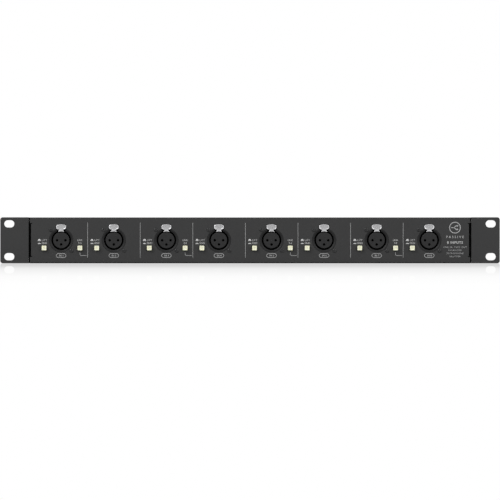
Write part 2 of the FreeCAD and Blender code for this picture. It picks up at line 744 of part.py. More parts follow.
def output_housing():
    """A black housing with a round collar through the rear panel and a deep bore."""
    inner_face = REAR - TRAY_SHEET - SHEET_GAP
    depth = (OUTPUT_BODY_FRONT, inner_face)
    body = box((-JACK_HALF_WIDTH, JACK_HALF_WIDTH), depth, OUTPUT_BODY_Z)
    corners = []
    for side in (-1, 1):
        for z in OUTPUT_BODY_Z:
            corners += edges_at(body, Y_AXIS, x=side * JACK_HALF_WIDTH, z=z)
    body = body.makeFillet(JACK_CORNER, corners)
    face = REAR - COLLAR_SETBACK
    collar = rod_y(OUTPUT_COLLAR, 0, 0, (inner_face - CUT, face))
    mouth = Part.makeCone(OUTPUT_BORE, OUTPUT_MOUTH, COLLAR_BEVEL, V(0, face - COLLAR_BEVEL, 0), Y_AXIS)
    key = box((-KEYWAY_HALF, KEYWAY_HALF), (REAR - KEYWAY_DEPTH, REAR + CUT), (0.0, KEYWAY_TOP))
    cutters = [mouth, key, rod_y(OUTPUT_BORE, 0, 0, (OUTPUT_BODY_FRONT - CUT, REAR + CUT))]
    screw_hole = (REAR - JACK_SCREW_HOLE_DEPTH, REAR + CUT)
    for side in (-1, 1):
        cutters.append(rod_y(JACK_HOLE, side * JACK_SCREW, side * JACK_SCREW, screw_hole))
    return body.fuse(collar).removeSplitter().cut(cutters)


def output_insulator():
    """The disc at the bottom of the bore that carries the three pins."""
    back = OUTPUT_BODY_FRONT + INSULATOR_DEPTH
    disc = rod_y(OUTPUT_BORE - SHEET_GAP, 0, 0, (OUTPUT_BODY_FRONT, back))
    through = (OUTPUT_BODY_FRONT - CUT, back + CUT)
    return disc.cut([rod_y(PIN_RADIUS + PIN_FIT, x, z, through) for x, z in contact_points()])


def output_pins():
    """Three round-tipped pins with tails through the rear board."""
    pins = []
    for x, z in contact_points():
        pin = rod_y(PIN_RADIUS, x, z, (OUTPUT_BODY_FRONT, PIN_TIP))
        tip = [e for e in pin.Edges if e.Closed and abs(e.CenterOfMass.y - PIN_TIP) < 1e-6]
        pin = pin.makeFillet(PIN_ROUNDING, tip)
        tail = rod_y(TAIL_RADIUS, x, z, (REAR_BOARD_Y - TAIL_LENGTH, OUTPUT_BODY_FRONT + CUT))
        pins.append(pin.fuse(tail))
    return pins


def rear_sockets():
    """All sixteen output sockets."""
    housing = output_housing()
    insulator = output_insulator()
    pins = output_pins()
    save("output_housings", [moved(housing, x) for x in OUTPUT_X])
    save("output_insulators", [moved(insulator, x) for x in OUTPUT_X])
    save("output_pins", [moved(pin, x) for x in OUTPUT_X for pin in pins])


# Boards

def front_board():
    """The upright board that carries the input sockets and the switches."""
    y = (FRONT_BOARD_Y, FRONT_BOARD_Y + BOARD_SHEET)
    through = (y[0] - CUT, y[1] + CUT)
    holes = []
    for x in CHANNEL_X:
        holes += [rod_y(TAIL_HOLE, x + dx, z, through) for dx, z in contact_points()]
    for _, x in button_places():
        for dx in TERMINAL_X:
            for dz in TERMINAL_Z:
                holes.append(rod_y(TERMINAL_HOLE, x + dx, BUTTON_Z + dz, through))
    return box((-UPRIGHT_BOARD_HALF, UPRIGHT_BOARD_HALF), y, FRONT_BOARD_Z).cut(holes)


def rear_board():
    """The upright board that carries the output sockets."""
    y = (REAR_BOARD_Y, REAR_BOARD_Y + BOARD_SHEET)
    through = (y[0] - CUT, y[1] + CUT)
    holes = []
    for x in OUTPUT_X:
        holes += [rod_y(TAIL_HOLE, x + dx, z, through) for dx, z in contact_points()]
    return box((-UPRIGHT_BOARD_HALF, UPRIGHT_BOARD_HALF), y, REAR_BOARD_Z).cut(holes)


def transformer_board():
    """The flat board over the floor, on six pillars."""
    sheet = box((-MAIN_BOARD_X, MAIN_BOARD_X), MAIN_BOARD_Y, (MAIN_BOARD_Z, BOARD_TOP))
    holes = []
    for x, y in PILLAR_POINTS:
        holes.append(rod(CASE_HOLE, V(x, y, MAIN_BOARD_Z - CUT), V(x, y, BOARD_TOP + CUT)))
    return sheet.cut(holes)


def pillars():
    """Threaded pillars pressed against the floor."""
    posts = []
    for x, y in PILLAR_POINTS:
        post = rod(PILLAR_RADIUS, V(x, y, FLOOR_TOP), V(x, y, MAIN_BOARD_Z))
        bore = rod(CASE_SHANK + SHEET_GAP, V(x, y, FLOOR_TOP + CUT), V(x, y, MAIN_BOARD_Z + CUT))
        posts.append(post.cut(bore))
    return posts


def boards():
    """Boards, pillars and board screws."""
    save("front_board", [front_board()])
    save("rear_board", [rear_board()])
    save("transformer_board", [transformer_board()])
    save("board_pillars", pillars())
    short = screw(CASE_HEAD, CASE_SHANK, BOARD_SCREW_LENGTH)
    save("board_screws", [placed(short, V(x, y, BOARD_TOP), Z_AXIS) for x, y in PILLAR_POINTS])


# Transformers and small components on the flat board

def transformer_core():
    """A laminated core: an outer frame with a middle leg."""
    half_x, half_y, height = CORE
    base = BOARD_TOP + CORE_LIFT
    core = box((-half_x, half_x), (-half_y, half_y), (base, base + height))
    opening = (base + CORE_YOKE, base + height - CORE_YOKE)
    for side in (-1, 1):
        window = sorted((side * WINDOW[0], side * WINDOW[1]))
        core = core.cut(box(window, (-half_y - CUT, half_y + CUT), opening))
    return core


def bobbin_span():
    """Bottom and top of the bobbin inside the core's windows."""
    low = BOARD_TOP + CORE_LIFT + CORE_YOKE + 2 * SHEET_GAP
    return low, low + CORE[2] - 2 * CORE_YOKE - 4 * SHEET_GAP


def transformer_bobbin():
    """A bobbin around the core's middle leg, with a cheek at each end."""
    base, top = bobbin_span()
    inner_x = WINDOW[0] + SHEET_GAP
    inner_y = CORE[1] + SHEET_GAP
    outer_x = inner_x + BOBBIN_WALL
    outer_y = inner_y + BOBBIN_WALL
    tube = box((-outer_x, outer_x), (-outer_y, outer_y), (base, top))
    cheek_x = WINDOW[1] - 2 * SHEET_GAP
    cheek_y = (-CHEEK_DEPTH, CHEEK_DEPTH)
    cheeks = []
    for low in (base, top - CHEEK_SHEET):
        cheeks.append(box((-cheek_x, cheek_x), cheek_y, (low, low + CHEEK_SHEET)))
    leg = box((-inner_x, inner_x), (-inner_y, inner_y), (base - CUT, top + CUT))
    return tube.multiFuse(cheeks).cut(leg)


def transformer_winding():
    """The copper winding between the bobbin's cheeks."""
    low, high = bobbin_span()
    base = low + CHEEK_SHEET + SHEET_GAP
    top = high - CHEEK_SHEET - SHEET_GAP
    inner_x = WINDOW[0] + BOBBIN_WALL + 2 * SHEET_GAP
    inner_y = CORE[1] + BOBBIN_WALL + 2 * SHEET_GAP
    outer_x = WINDOW[1] - 4 * SHEET_GAP
    outer_y = WINDING_DEPTH
    outer = box((-outer_x, outer_x), (-outer_y, outer_y), (base, top))
    corners = []
    for x in (-outer_x, outer_x):
        for y in (-outer_y, outer_y):
            corners += edges_at(outer, Z_AXIS, x=x, y=y)
    outer = outer.makeFillet(WINDING_CORNER, corners)
    return outer.cut(box((-inner_x, inner_x), (-inner_y, inner_y), (base - CUT, top + CUT)))


def transformer_can():
    """A drawn screening can, open at the bottom."""
    top = BOARD_TOP + CAN_HEIGHT
    can = box((-CAN_HALF, CAN_HALF), (-CAN_HALF, CAN_HALF), (BOARD_TOP, top))
    soft = [e for e in can.Edges if e.CenterOfMass.z > BOARD_TOP + CUT]
    can = can.makeFillet(CAN_CORNER, soft)
    inside = CAN_HALF - CAN_SHEET
    hollow = box((-inside, inside), (-inside, inside), (BOARD_TOP - CUT, top - CAN_SHEET))
    soft = [e for e in hollow.Edges if e.CenterOfMass.z > BOARD_TOP + CUT]
    return can.cut(hollow.makeFillet(CAN_CORNER - CAN_SHEET, soft))


def transformers():
    """All eight splitting transformers."""
    builders = {
        "transformer_cores": transformer_core,
        "transformer_bobbins": transformer_bobbin,
        "transformer_windings": transformer_winding,
        "transformer_cans": transformer_can,
    }
    for node, build in builders.items():
        shape = build()
        save(node, [moved(shape, x, TRANSFORMER_Y) for x in TRANSFORMER_X])


def resistor():
    """An axial resistor with bent leads, lying along X on the board."""
    height = BOARD_TOP + RESISTOR_LIFT
    radius, half = RESISTOR_BODY
    body = rod(radius, V(-half, 0, height), V(half, 0, height))
    radius, inner, outer = RESISTOR_END
    pieces = [rod(radius, V(side * inner, 0, height), V(side * outer, 0, height)) for side in (-1, 1)]
    radius, reach = RESISTOR_LEAD
    pieces.append(rod(radius, V(-reach, 0, height), V(reach, 0, height)))
    for x in (-reach, reach):
        pieces.append(rod(radius, V(x, 0, BOARD_TOP), V(x, 0, height)))
        pieces.append(Part.makeSphere(radius, V(x, 0, height)))
    return body.multiFuse(pieces)


def capacitor():
    """A box-shaped film capacitor."""
    half_x, half_y = CAPACITOR_HALF
    body = box((-half_x, half_x), (-half_y, half_y), (BOARD_TOP, BOARD_TOP + CAPACITOR_HEIGHT))
    soft = [e for e in body.Edges if e.CenterOfMass.z > BOARD_TOP + CUT]
    return body.makeFillet(CAPACITOR_CORNER, soft)


def small_parts():
    """Two resistors and one capacitor beside each transformer."""
    resistors = []
    capacitors = []
    for x in TRANSFORMER_X:
        for y in (TRANSFORMER_Y - SMALL_PART_Y, TRANSFORMER_Y + SMALL_PART_Y):
            resistors.append(moved(resistor(), x + RESISTOR_DX, y))
        capacitors.append(moved(capacitor(), x + CAPACITOR_DX, TRANSFORMER_Y - SMALL_PART_Y))
    save("lift_resistors", resistors)
    save("lift_capacitors", capacitors)


# Ribbon cables and their headers

def band(x, y, z):
    """A flat length of cable, as a block."""
    half = RIBBON_WIDTH / 2
    return box((x - half, x + half), y, z)


def quarter_band(x, centre_y, centre_z, side_y):
    """A quarter turn of cable, up and over from level to upright."""
    half = RIBBON_WIDTH / 2
    outer = RIBBON_BEND + RIBBON_THICKNESS
    start = V(x - half, centre_y, centre_z)
    end = V(x + half, centre_y, centre_z)
    bend = rod(outer, start, end).cut(rod(RIBBON_BEND, start - X_AXIS, end + X_AXIS))
    reach = sorted((centre_y, centre_y + side_y * (outer + CUT)))
    return bend.common(box((x - half, x + half), reach, (centre_z, centre_z + outer + CUT)))


def ribbon(x, header_face, drop_y, side):
    """A cable from an upright board's header, over a bend and down to the flat board."""
    outer = RIBBON_BEND + RIBBON_THICKNESS
    centre_y = drop_y - side * (RIBBON_BEND + RIBBON_THICKNESS / 2)
    level = UPRIGHT_HEADER_Z - RIBBON_THICKNESS / 2
    centre_z = level - RIBBON_BEND
    run = band(x, sorted((header_face, centre_y)), (level, level + RIBBON_THICKNESS))
    turn = quarter_band(x, centre_y, centre_z, side)
    drop_face = sorted((centre_y + side * RIBBON_BEND, centre_y + side * outer))
    drop = band(x, drop_face, (BOARD_TOP + HEADER_DEPTH, centre_z))
    return run.multiFuse([turn, drop]).removeSplitter()


def wiring():
    """Two cables in front, two at the rear, and a box header at each end."""
    half = RIBBON_WIDTH / 2 + HEADER_END
    front_face = FRONT_BOARD_Y + BOARD_SHEET
    headers = []
    cables = []
    front_drop = MAIN_BOARD_Y[0] + HEADER_INSET
    rear_drop = MAIN_BOARD_Y[1] - HEADER_INSET
    upright = (UPRIGHT_HEADER_Z - HEADER_HALF, UPRIGHT_HEADER_Z + HEADER_HALF)
    flat = (BOARD_TOP, BOARD_TOP + HEADER_DEPTH)
    for x in RIBBON_X:
        span = (x - half, x + half)
        headers.append(box(span, (front_face, front_face + HEADER_DEPTH), upright))
        headers.append(box(span, (REAR_BOARD_Y - HEADER_DEPTH, REAR_BOARD_Y), upright))
        for y in (front_drop, rear_drop):
            headers.append(box(span, (y - HEADER_HALF, y + HEADER_HALF), flat))
        cables.append(ribbon(x, front_face + HEADER_DEPTH, front_drop, 1))
        cables.append(ribbon(x, REAR_BOARD_Y - HEADER_DEPTH, rear_drop, -1))
    save("box_headers", headers)
    save("ribbon_cables", cables)


# Earth connection

def earth_lug():
    """A ring terminal over the stud, with a barrel for the wire."""
    x, y = EARTH_POINT
    low = FLOOR_TOP
    top = low + LUG_SHEET
    eye = rod(LUG_EYE, V(x, y, low), V(x, y, top))
    near, far, half = LUG_TAIL
    tail = box((x + near, x + far), (y - half, y + half), (low, top))
    height = low + LUG_BARREL_RADIUS
    start, end = LUG_BARREL
    barrel = rod(LUG_BARREL_RADIUS, V(x + start, y, height), V(x + end, y, height))
    bore = rod(WIRE_RADIUS + SHEET_GAP, V(x + start + CUT, y, height), V(x + end + CUT, y, height))
    hole = rod(EARTH_STUD + SHEET_GAP, V(x, y, low - CUT), V(x, y, top + CUT))
    return eye.multiFuse([tail, barrel]).cut([bore, hole])


def earth_nut():
    """A hexagon nut that clamps the ring terminal."""
    x, y = EARTH_POINT
    low = FLOOR_TOP + LUG_SHEET
    corners = []
    for step in range(6):
        angle = math.radians(60 * step)
        corners.append(V(x + NUT_CORNER * math.cos(angle), y + NUT_CORNER * math.sin(angle), low))
    hole = rod(EARTH_STUD + SHEET_GAP, V(x, y, low - CUT), V(x, y, low + NUT_HEIGHT + CUT))
    return prism(corners, Z_AXIS * NUT_HEIGHT).cut(hole)


def earth_wire():
    """A wire from the ring terminal up to the edge of the flat board."""
    x, y = EARTH_POINT
    start = V(x + LUG_BARREL[0] + WIRE_INSIDE_BARREL, y, FLOOR_TOP + LUG_BARREL_RADIUS)
    bend_start = V(x + LUG_BARREL[1] + WIRE_STRAIGHT, y, start.z)
    end = V(x + WIRE_REACH[0], MAIN_BOARD_Y[0] + WIRE_REACH[1], BOARD_TOP)
    belly = V(x + WIRE_BELLY[0], y + WIRE_BELLY[1], WIRE_BELLY[2])
    crest = end + V(0, *WIRE_CREST)
    leave, arrive = WIRE_PULL
    curve = Part.BSplineCurve()
    curve.interpolate([bend_start, belly, crest, end],
                      InitialTangent=X_AXIS * leave, FinalTangent=Z_AXIS * arrive)
    path = Part.Wire([Part.makeLine(start, bend_start), curve.toShape()])
    profile = Part.Wire(Part.makeCircle(WIRE_RADIUS, start, X_AXIS))
    return path.makePipeShell([profile], True, True)


def earthing():
    """Ring terminal, nut and wire."""
    save("earth_lug", [earth_lug()])
    save("earth_nut", [earth_nut()])
    save("earth_wire", [earth_wire()])


def case():
    """Tray, cover and ears."""
    save("chassis_tray", [chassis_tray()])
    save("top_cover", [top_cover()])
    ear = rack_ear()
    save("rack_ear_right", [ear])
    save("rack_ear_left", [mirrored_x(ear)])


def main():
    os.makedirs("parts", exist_ok=True)
    case()
    case_screws()
    jack_screws()
    front_sockets()
    buttons()
    rear_sockets()
    boards()
    transformers()
    small_parts()
    wiring()
    earthing()


main()
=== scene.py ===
"""Looks for an eight-channel microphone splitter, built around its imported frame. Metres, +Z up."""

import json
import math

import bmesh
import bpy
from mathutils import Matrix, Vector


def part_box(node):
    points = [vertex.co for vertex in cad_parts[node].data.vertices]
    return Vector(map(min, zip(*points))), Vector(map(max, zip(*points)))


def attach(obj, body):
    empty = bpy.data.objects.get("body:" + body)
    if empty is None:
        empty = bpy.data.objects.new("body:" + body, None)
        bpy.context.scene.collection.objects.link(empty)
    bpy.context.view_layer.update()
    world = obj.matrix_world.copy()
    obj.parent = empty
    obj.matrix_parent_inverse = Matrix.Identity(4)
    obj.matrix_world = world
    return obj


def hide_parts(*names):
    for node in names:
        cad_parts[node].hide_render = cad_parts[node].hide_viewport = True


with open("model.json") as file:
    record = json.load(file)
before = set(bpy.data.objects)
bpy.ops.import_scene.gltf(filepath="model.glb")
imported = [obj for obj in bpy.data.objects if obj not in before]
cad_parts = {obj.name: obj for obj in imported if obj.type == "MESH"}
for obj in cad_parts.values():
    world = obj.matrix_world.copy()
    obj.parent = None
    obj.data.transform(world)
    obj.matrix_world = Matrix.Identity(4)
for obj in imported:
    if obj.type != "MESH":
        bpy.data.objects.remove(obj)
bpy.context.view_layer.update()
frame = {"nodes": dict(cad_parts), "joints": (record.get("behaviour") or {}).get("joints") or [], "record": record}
NODES = frame["nodes"]
MM = 0.001

# Places worked out from the frame
PANEL_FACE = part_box("chassis_tray")[0].y
REAR_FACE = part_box("chassis_tray")[1].y
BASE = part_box("chassis_tray")[0].z
PANEL_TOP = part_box("chassis_tray")[1].z
HINGES = {j["child"]: Vector(j["pos_m"]) for j in frame["joints"] if j["type"] == "hinge"}
CHANNELS = len(HINGES)
CHANNEL_X = [HINGES["latch_%d" % n].x for n in range(1, CHANNELS + 1)]
BUTTONS = sorted(n for n in NODES if "_button_" in n)
CASE = "case"
LATCH_LOW, LATCH_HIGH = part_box("latch_1")
CAP_LOW, CAP_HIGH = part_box(BUTTONS[0])

# Latches
PLATE_HALF = (LATCH_HIGH.x - LATCH_LOW.x) / 2
PLATE_FRONT = LATCH_LOW.y
PLATE_Z = 12.7 * MM
PLATE_RISE = 2.7 * MM
PLATE_FULLNESS = 2.7
PLATE_TAPER = 0.07
# The plate's rim and field: insets from the side and depths behind the front
PLATE_PROFILE = [(0.25, 1.2), (0.05, 1.08), (0.0, 0.84), (0.0, 0.42), (0.06, 0.2), (0.2, 0.05), (0.38, 0.0),
                 (0.62, 0.02), (0.8, 0.1), (0.95, 0.16), (1.15, 0.18), (2.0, 0.17)]
# The sunk field's depth span and foot, where the latch metal gets painted shade.
SHADED_FIELD_DEPTH = (PANEL_FACE - 0.63 * MM, PANEL_FACE - 0.54 * MM)
SHADED_FIELD_FOOT = (10.3 * MM, 10.5 * MM)
TONGUE_ARC = 8.5 * MM
TONGUE_TIP = 2.75 * MM
TONGUE_NECK = 1.6 * MM
TONGUE_SETBACK = 0.32 * MM
TONGUE_SHEET = 1.4 * MM
TONGUE_FLANK = 0.25 * MM
NECK_OVERLAP = 0.6 * MM
LEVER_HALF = 2.3 * MM
ARM_LOW = 10.4 * MM
ARM_TOP = 12.2 * MM
ARM_SETBACK = 0.9 * MM
HOOK_FRONT = 5.5 * MM
HOOK_SLOPE = 1.4 * MM
HOOK_LOW = 8.9 * MM
EYE_RADIUS = 1.5 * MM
EYE_BORE = 0.75 * MM
EYE_OVERLAP = 0.2 * MM
PUSH_HEIGHT = 1.35 * MM
PUSH_THICKNESS = 0.3 * MM
PUSH_SETBACK = 0.16 * MM

# Button caps: insets from the side and places behind the front
CAP_FRONT = CAP_LOW.y
CAP_BACK = CAP_FRONT + 7.0 * MM
CAP_CORNER = 0.55 * MM
CAP_SIDES = [(0.3, 7.0), (0.02, 6.7), (0.0, 6.0), (0.0, 0.45), (0.05, 0.2), (0.17, 0.05), (0.34, 0.0)]
CAP_DISH = [(0.6, 0.02), (0.9, 0.12), (1.3, 0.2), (1.7, 0.25), (2.0, 0.27)]
# The depth span over which the caps' dished face gets painted shade.
DISH_SHADE_DEPTH = (PANEL_FACE - 3.1 * MM, PANEL_FACE - 2.96 * MM)
STEM_HALF = 1.5 * MM
STEM_OVERLAP = 0.5 * MM

# Painted shade in the black mouldings' front recesses: it starts at the first depth, is full from the second, and
# lasts up to inside the case
RECESS_SHADE_TONE = 0.2
RECESS_DEPTH = (PANEL_FACE + 1.4 * MM, PANEL_FACE + 3.2 * MM)
RECESS_END = (PANEL_FACE + 30 * MM, PANEL_FACE + 31 * MM)

# Painted-shadow strips in the gaps beside the ears
SHADOW_STRIP_CLEARANCE = 0.05 * MM
SHADOW_STRIP_DEPTH = 1.0 * MM

# Printed ink: thickness and planes in metres, cap height as a share of the type size
INK = 0.03 * MM
FRONT_INK = PANEL_FACE - INK
REAR_INK = REAR_FACE + INK
CAP_HEIGHT_SHARE = 0.72

# Front legends, in millimetres; x is from the channel's middle. A dome is its foot and its rise, and the
# bar below it is its half length, its drop and its line width
UPPER_ROW = 0.15
LOWER_ROW = -2.7
LABEL_ROW = -14.75
LETTER = 1.7
LIFT_X = -16.3
LINK_X = 18.15
ICON_X = -21.1
ICON_DOMES = ((-0.12, 1.4), (-3.0, 0.42))
ICON_HALF = 1.25
ICON_BAR = (1.5, 0.32, 0.4)
LABEL_HALF = 4.72
LABEL_RISE = 1.95
LABEL_LINE = 0.42
NUMBER_LETTER = 1.8
NUMBER_SHIFT = 0.2
BRACKET_RADIUS = 1.4
BRACKET_TOP = -11.6
BRACKET_REACH = 6.4
BRACKET_LINE = 0.34
DIVIDER_RISE = (16.9, -16.8)
DIVIDER_SHIFT = 0.15
DIVIDER_LINE = 0.3
# The flag and the stroke width of a figure one, as shares of its height
FLAG = [(0.02, 0.5), (-0.26, 0.24), (-0.26, 0.08), (0.02, 0.28)]
FIGURE_ONE_WIDTH = 0.13

# Title block, in millimetres: the sign's middle, and its parts measured from there
TITLE_X = 198.0
SIGN_Z = 12.2
SIGN_RADIUS = 5.2
SIGN_LINE = 0.7
SIGN_ENTRY = -3.4
SIGN_FORK = -0.8
SIGN_BEND = 0.9
SIGN_SHAFT = 2.0
SIGN_SPREAD = 1.7
ARROW_BACK = 1.9
ARROW_TIP = 3.4
ARROW_HALF = 0.95
# Each line's words, cap height, z, weight and spacing
TITLE_LINES = [("PASSIVE", 2.3, 3.3, 0.03, 1.65), ("8 INPUTS", 2.4, -2.1, 0.1, 1.15),
               ("ONE IN, TWO OUT", 1.5, -6.6, 0.0, 1.3), ("BALANCED", 1.5, -9.6, 0.0, 1.3),
               ("MICROPHONE", 1.5, -12.6, 0.0, 1.3), ("SPLITTER", 1.5, -15.6, 0.0, 1.3)]

# Rear legends, in millimetres
OUTPUTS = 2 * CHANNELS
OUTPUT_PITCH = 25.4
OUTPUT_NUMBER = (1.75, 16.1)
OUTPUT_KIND = (1.35, -15.2)
REAR_LINE_RISE = (15.5, -16.8)

# Shading
BEVEL_SAMPLES = 6
EDGE_COSINES = (0.72, 0.995)

# Stage, in metres and watts; the floor's mirror image fades along MIRROR_REACH
FLOOR_HALF = 30.0
MIRROR_REACH = 2.5
FLOOR_MIRROR = [(0.0, 0.37), (0.26, 0.325), (0.46, 0.16), (0.62, 0.103), (0.8, 0.031), (1.0, 0.0)]
GRAZING_POWER = 9.0
SURROUND = 0.62
LAMPS = [("key", (-1.4, -1.6, 1.4), 1.2, 31.0), ("fill", (1.3, -1.5, 0.9), 1.2, 14.0),
         ("rear", (0.6, 1.8, 1.5), 1.4, 26.0)]
CAMERA_DROP = 9.4 * MM
LENS = 300.0
SENSOR = 36.0
FRAME_WIDTH = 482.97 * MM


# Finishes

class Finish:
    """A Principled material with short ways to feed it from procedural nodes."""

    def __init__(self, name, colour, roughness, metallic=0.0, specular=0.5):
        self.material = bpy.data.materials.new(name)
        self.material.use_nodes = True
        self.tree = self.material.node_tree
        self.shader = self.tree.nodes["Principled BSDF"]
        self.place = self.add("ShaderNodeTexCoord").outputs["Object"]
        self.set("Base Color", (*colour, 1.0))
        self.set("Roughness", roughness)
        self.set("Metallic", metallic)
        self.set("Specular IOR Level", specular)
        self.material.diffuse_color = (*colour, 1.0)
        self.normal = None

    def add(self, kind, **settings):
        node = self.tree.nodes.new(kind)
        for name, value in settings.items():
            setattr(node, name, value)
        return node

    def plug(self, socket, source):
        """Set a socket to a value, or link it when the source is another socket."""
        if isinstance(source, bpy.types.NodeSocket):
            self.tree.links.new(source, socket)
        else:
            socket.default_value = source

    def set(self, name, source):
        self.plug(self.shader.inputs[name], source)

    def stretched(self, scale, turn=(0.0, 0.0, 0.0)):
        """Object coordinates, scaled separately along each axis."""
        mapping = self.add("ShaderNodeMapping")
        self.plug(mapping.inputs["Vector"], self.place)
        mapping.inputs["Scale"].default_value = scale
        mapping.inputs["Rotation"].default_value = turn
        return mapping.outputs["Vector"]

    def noise(self, size, detail=2.0, roughness=0.5, place=None):
        """Noise between 0 and 1 whose grains are about size metres across."""
        node = self.add("ShaderNodeTexNoise")
        self.plug(node.inputs["Vector"], place or self.place)
        node.inputs["Scale"].default_value = 1.0 / size
        node.inputs["Detail"].default_value = detail
        node.inputs["Roughness"].default_value = roughness
        return node.outputs["Fac"]

    def cells(self, size):
        """Distance to the nearest cell centre, for grains and pits."""
        node = self.add("ShaderNodeTexVoronoi", feature="F1")
        self.plug(node.inputs["Vector"], self.place)
        node.inputs["Scale"].default_value = 1.0 / size
        return node.outputs["Distance"]

    def waves(self, size, direction):
        """Even bands across one axis."""
        node = self.add("ShaderNodeTexWave", bands_direction=direction)
        self.plug(node.inputs["Vector"], self.place)
        node.inputs["Scale"].default_value = math.pi / (10.0 * size)
        return node.outputs["Fac"]

    def ranged(self, source, low, high, start=0.0, end=1.0):
        """Map a value from start..end to low..high, clamped."""
        node = self.add("ShaderNodeMapRange")
        self.plug(node.inputs["Value"], source)
        for name, value in (("From Min", start), ("From Max", end), ("To Min", low), ("To Max", high)):
            node.inputs[name].default_value = value
        return node.outputs["Result"]

    def maths(self, operation, first, second=0.0):
        node = self.add("ShaderNodeMath", operation=operation)
        self.plug(node.inputs[0], first)
        self.plug(node.inputs[1], second)
        return node.outputs["Value"]

    def blend(self, factor, first, second):
        """A colour between two colours."""
        node = self.add("ShaderNodeMix", data_type="RGBA")
        self.plug(node.inputs["Factor"], factor)
        for socket, colour in zip(node.inputs[6:8], (first, second)):
            self.plug(socket, colour if isinstance(colour, bpy.types.NodeSocket) else (*colour, 1.0))
        return node.outputs[2]

    def bump(self, height, depth):
        """Add relief of a given depth in metres on top of any relief so far."""
        node = self.add("ShaderNodeBump")
        node.inputs["Strength"].default_value = 1.0
        node.inputs["Distance"].default_value = depth
        self.plug(node.inputs["Height"], height)
        if self.normal is not None:
            self.plug(node.inputs["Normal"], self.normal)
        self.normal = node.outputs["Normal"]
        self.set("Normal", self.normal)

    def rounded(self, radius):
        """Soften hard edges in the shading, by a radius in metres."""
        node = self.add("ShaderNodeBevel", samples=BEVEL_SAMPLES)
        node.inputs["Radius"].default_value = radius
        self.normal = node.outputs["Normal"]
        self.set("Normal", self.normal)

    def edges(self, radius):
        """0 on flat stretches, rising towards 1 at outer and inner edges."""
        soft = self.add("ShaderNodeBevel", samples=BEVEL_SAMPLES)
        soft.inputs["Radius"].default_value = radius
        hard = self.add("ShaderNodeNewGeometry").outputs["Normal"]
        node = self.add("ShaderNodeVectorMath", operation="DOT_PRODUCT")
        self.plug(node.inputs[0], soft.outputs["Normal"])
        self.plug(node.inputs[1], hard)
        return self.ranged(node.outputs["Value"], 1.0, 0.0, *EDGE_COSINES)

    def along(self, axis, start, end, vector=None):
        """A ramp from 0 at start to 1 at end along one axis of the place or of another vector."""
        split = self.add("ShaderNodeSeparateXYZ")
        self.plug(split.inputs["Vector"], vector or self.place)
        return self.ranged(split.outputs[axis], 0.0, 1.0, start, end)

    def downward(self, start, end):
        """0 on upright and upward faces, rising to 1 as they turn down."""
        return self.along("Z", start, end, self.add("ShaderNodeNewGeometry").outputs["Normal"])

    def patched(self, mask, size, low=0.45, high=0.65):
        """A mask broken up by noise, so that wear is uneven."""
        return self.maths("MULTIPLY", mask, self.ranged(self.noise(size, 4.0), 0.0, 1.0, low, high))


def shade(colour, factor):
    return tuple(channel * factor for channel in colour)


def powder_coat():
    """Satin charcoal powder coat: fine orange peel, a little tone change, edges rubbed brighter, and painted shade
    on faces that turn downward.
    """
    base = (0.0325, 0.0325, 0.0328)
    f = Finish("charcoal_powder_coat", base, 0.45, specular=0.3)
    tone = f.blend(f.noise(0.09, 3.0), shade(base, 0.97), shade(base, 1.03))
    grain = f.blend(f.ranged(f.noise(0.0005, 2.0), 0.0, 1.0, 0.35, 0.75), tone, shade(base, 1.12))
    wear = f.patched(f.edges(0.35 * MM), 2.2 * MM, 0.5, 0.72)
    worn = f.blend(f.maths("MULTIPLY", wear, 0.2), grain, (0.16, 0.16, 0.165))
    # Painted shade: faces that turn downward get a darker colour and weaker reflections.
    below = f.downward(0.0, -0.5)
    f.set("Base Color", f.blend(below, worn, shade(base, 0.36)))
    f.set("Specular IOR Level", f.ranged(below, 0.3, 0.08))
    rough = f.ranged(f.noise(0.02, 3.0), 0.41, 0.5, 0.3, 0.7)
    f.set("Roughness", f.maths("SUBTRACT", rough, f.maths("MULTIPLY", wear, 0.08)))
    f.rounded(0.22 * MM)
    f.bump(f.noise(1.1 * MM, 2.0), 0.018 * MM)
    f.bump(f.noise(0.3 * MM, 2.0), 0.008 * MM)
    return f.material


def black_moulding(name, base, roughness, grain):
    """Moulded black plastic with a fine spark-eroded grain and softened edges, with painted shade that darkens the
    front recesses and weakens their reflections.
    """
    f = Finish(name, base, roughness, specular=0.28)
    tone = f.blend(f.noise(6 * MM, 3.0), shade(base, 0.85), shade(base, 1.18))
    # Painted shade: deeper in the front recesses the colour darkens and reflections weaken.
    recess_shade = f.maths("SUBTRACT", f.along("Y", *RECESS_DEPTH), f.along("Y", *RECESS_END))
    f.set("Base Color", f.blend(recess_shade, tone, shade(base, RECESS_SHADE_TONE)))
    f.set("Specular IOR Level", f.ranged(recess_shade, 0.28, 0.05))
    f.set("Roughness", f.ranged(f.noise(1.5 * MM, 3.0), roughness - 0.05, roughness + 0.08, 0.3, 0.7))
    f.rounded(0.15 * MM)
    f.bump(f.noise(0.22 * MM, 2.0), grain)
    return f.material


def latch_metal():
    """Satin die-cast zinc, bright on the proud rim, with painted shade that darkens the sunk field."""
    base = (0.74, 0.74, 0.75)
    f = Finish("satin_latch_metal", base, 0.34, metallic=0.85)
    lines = f.noise(0.25 * MM, 3.0, place=f.stretched((0.12, 1.0, 1.0)))
    tone = f.blend(f.noise(1.6 * MM, 3.0), shade(base, 0.9), shade(base, 1.06))
    # Painted shade: a darker copy of the metal colour in the sunk field.
    field = f.maths("MULTIPLY", f.along("Y", *SHADED_FIELD_DEPTH), f.along("Z", *SHADED_FIELD_FOOT))
    f.set("Base Color", f.blend(field, tone, shade(base, 0.76)))
    f.set("Roughness", f.ranged(lines, 0.27, 0.42, 0.3, 0.7))
    f.bump(lines, 0.006 * MM)
    f.bump(f.ranged(f.cells(0.5 * MM), 0.0, 1.0, 0.0, 0.25), 0.004 * MM)
    return f.material


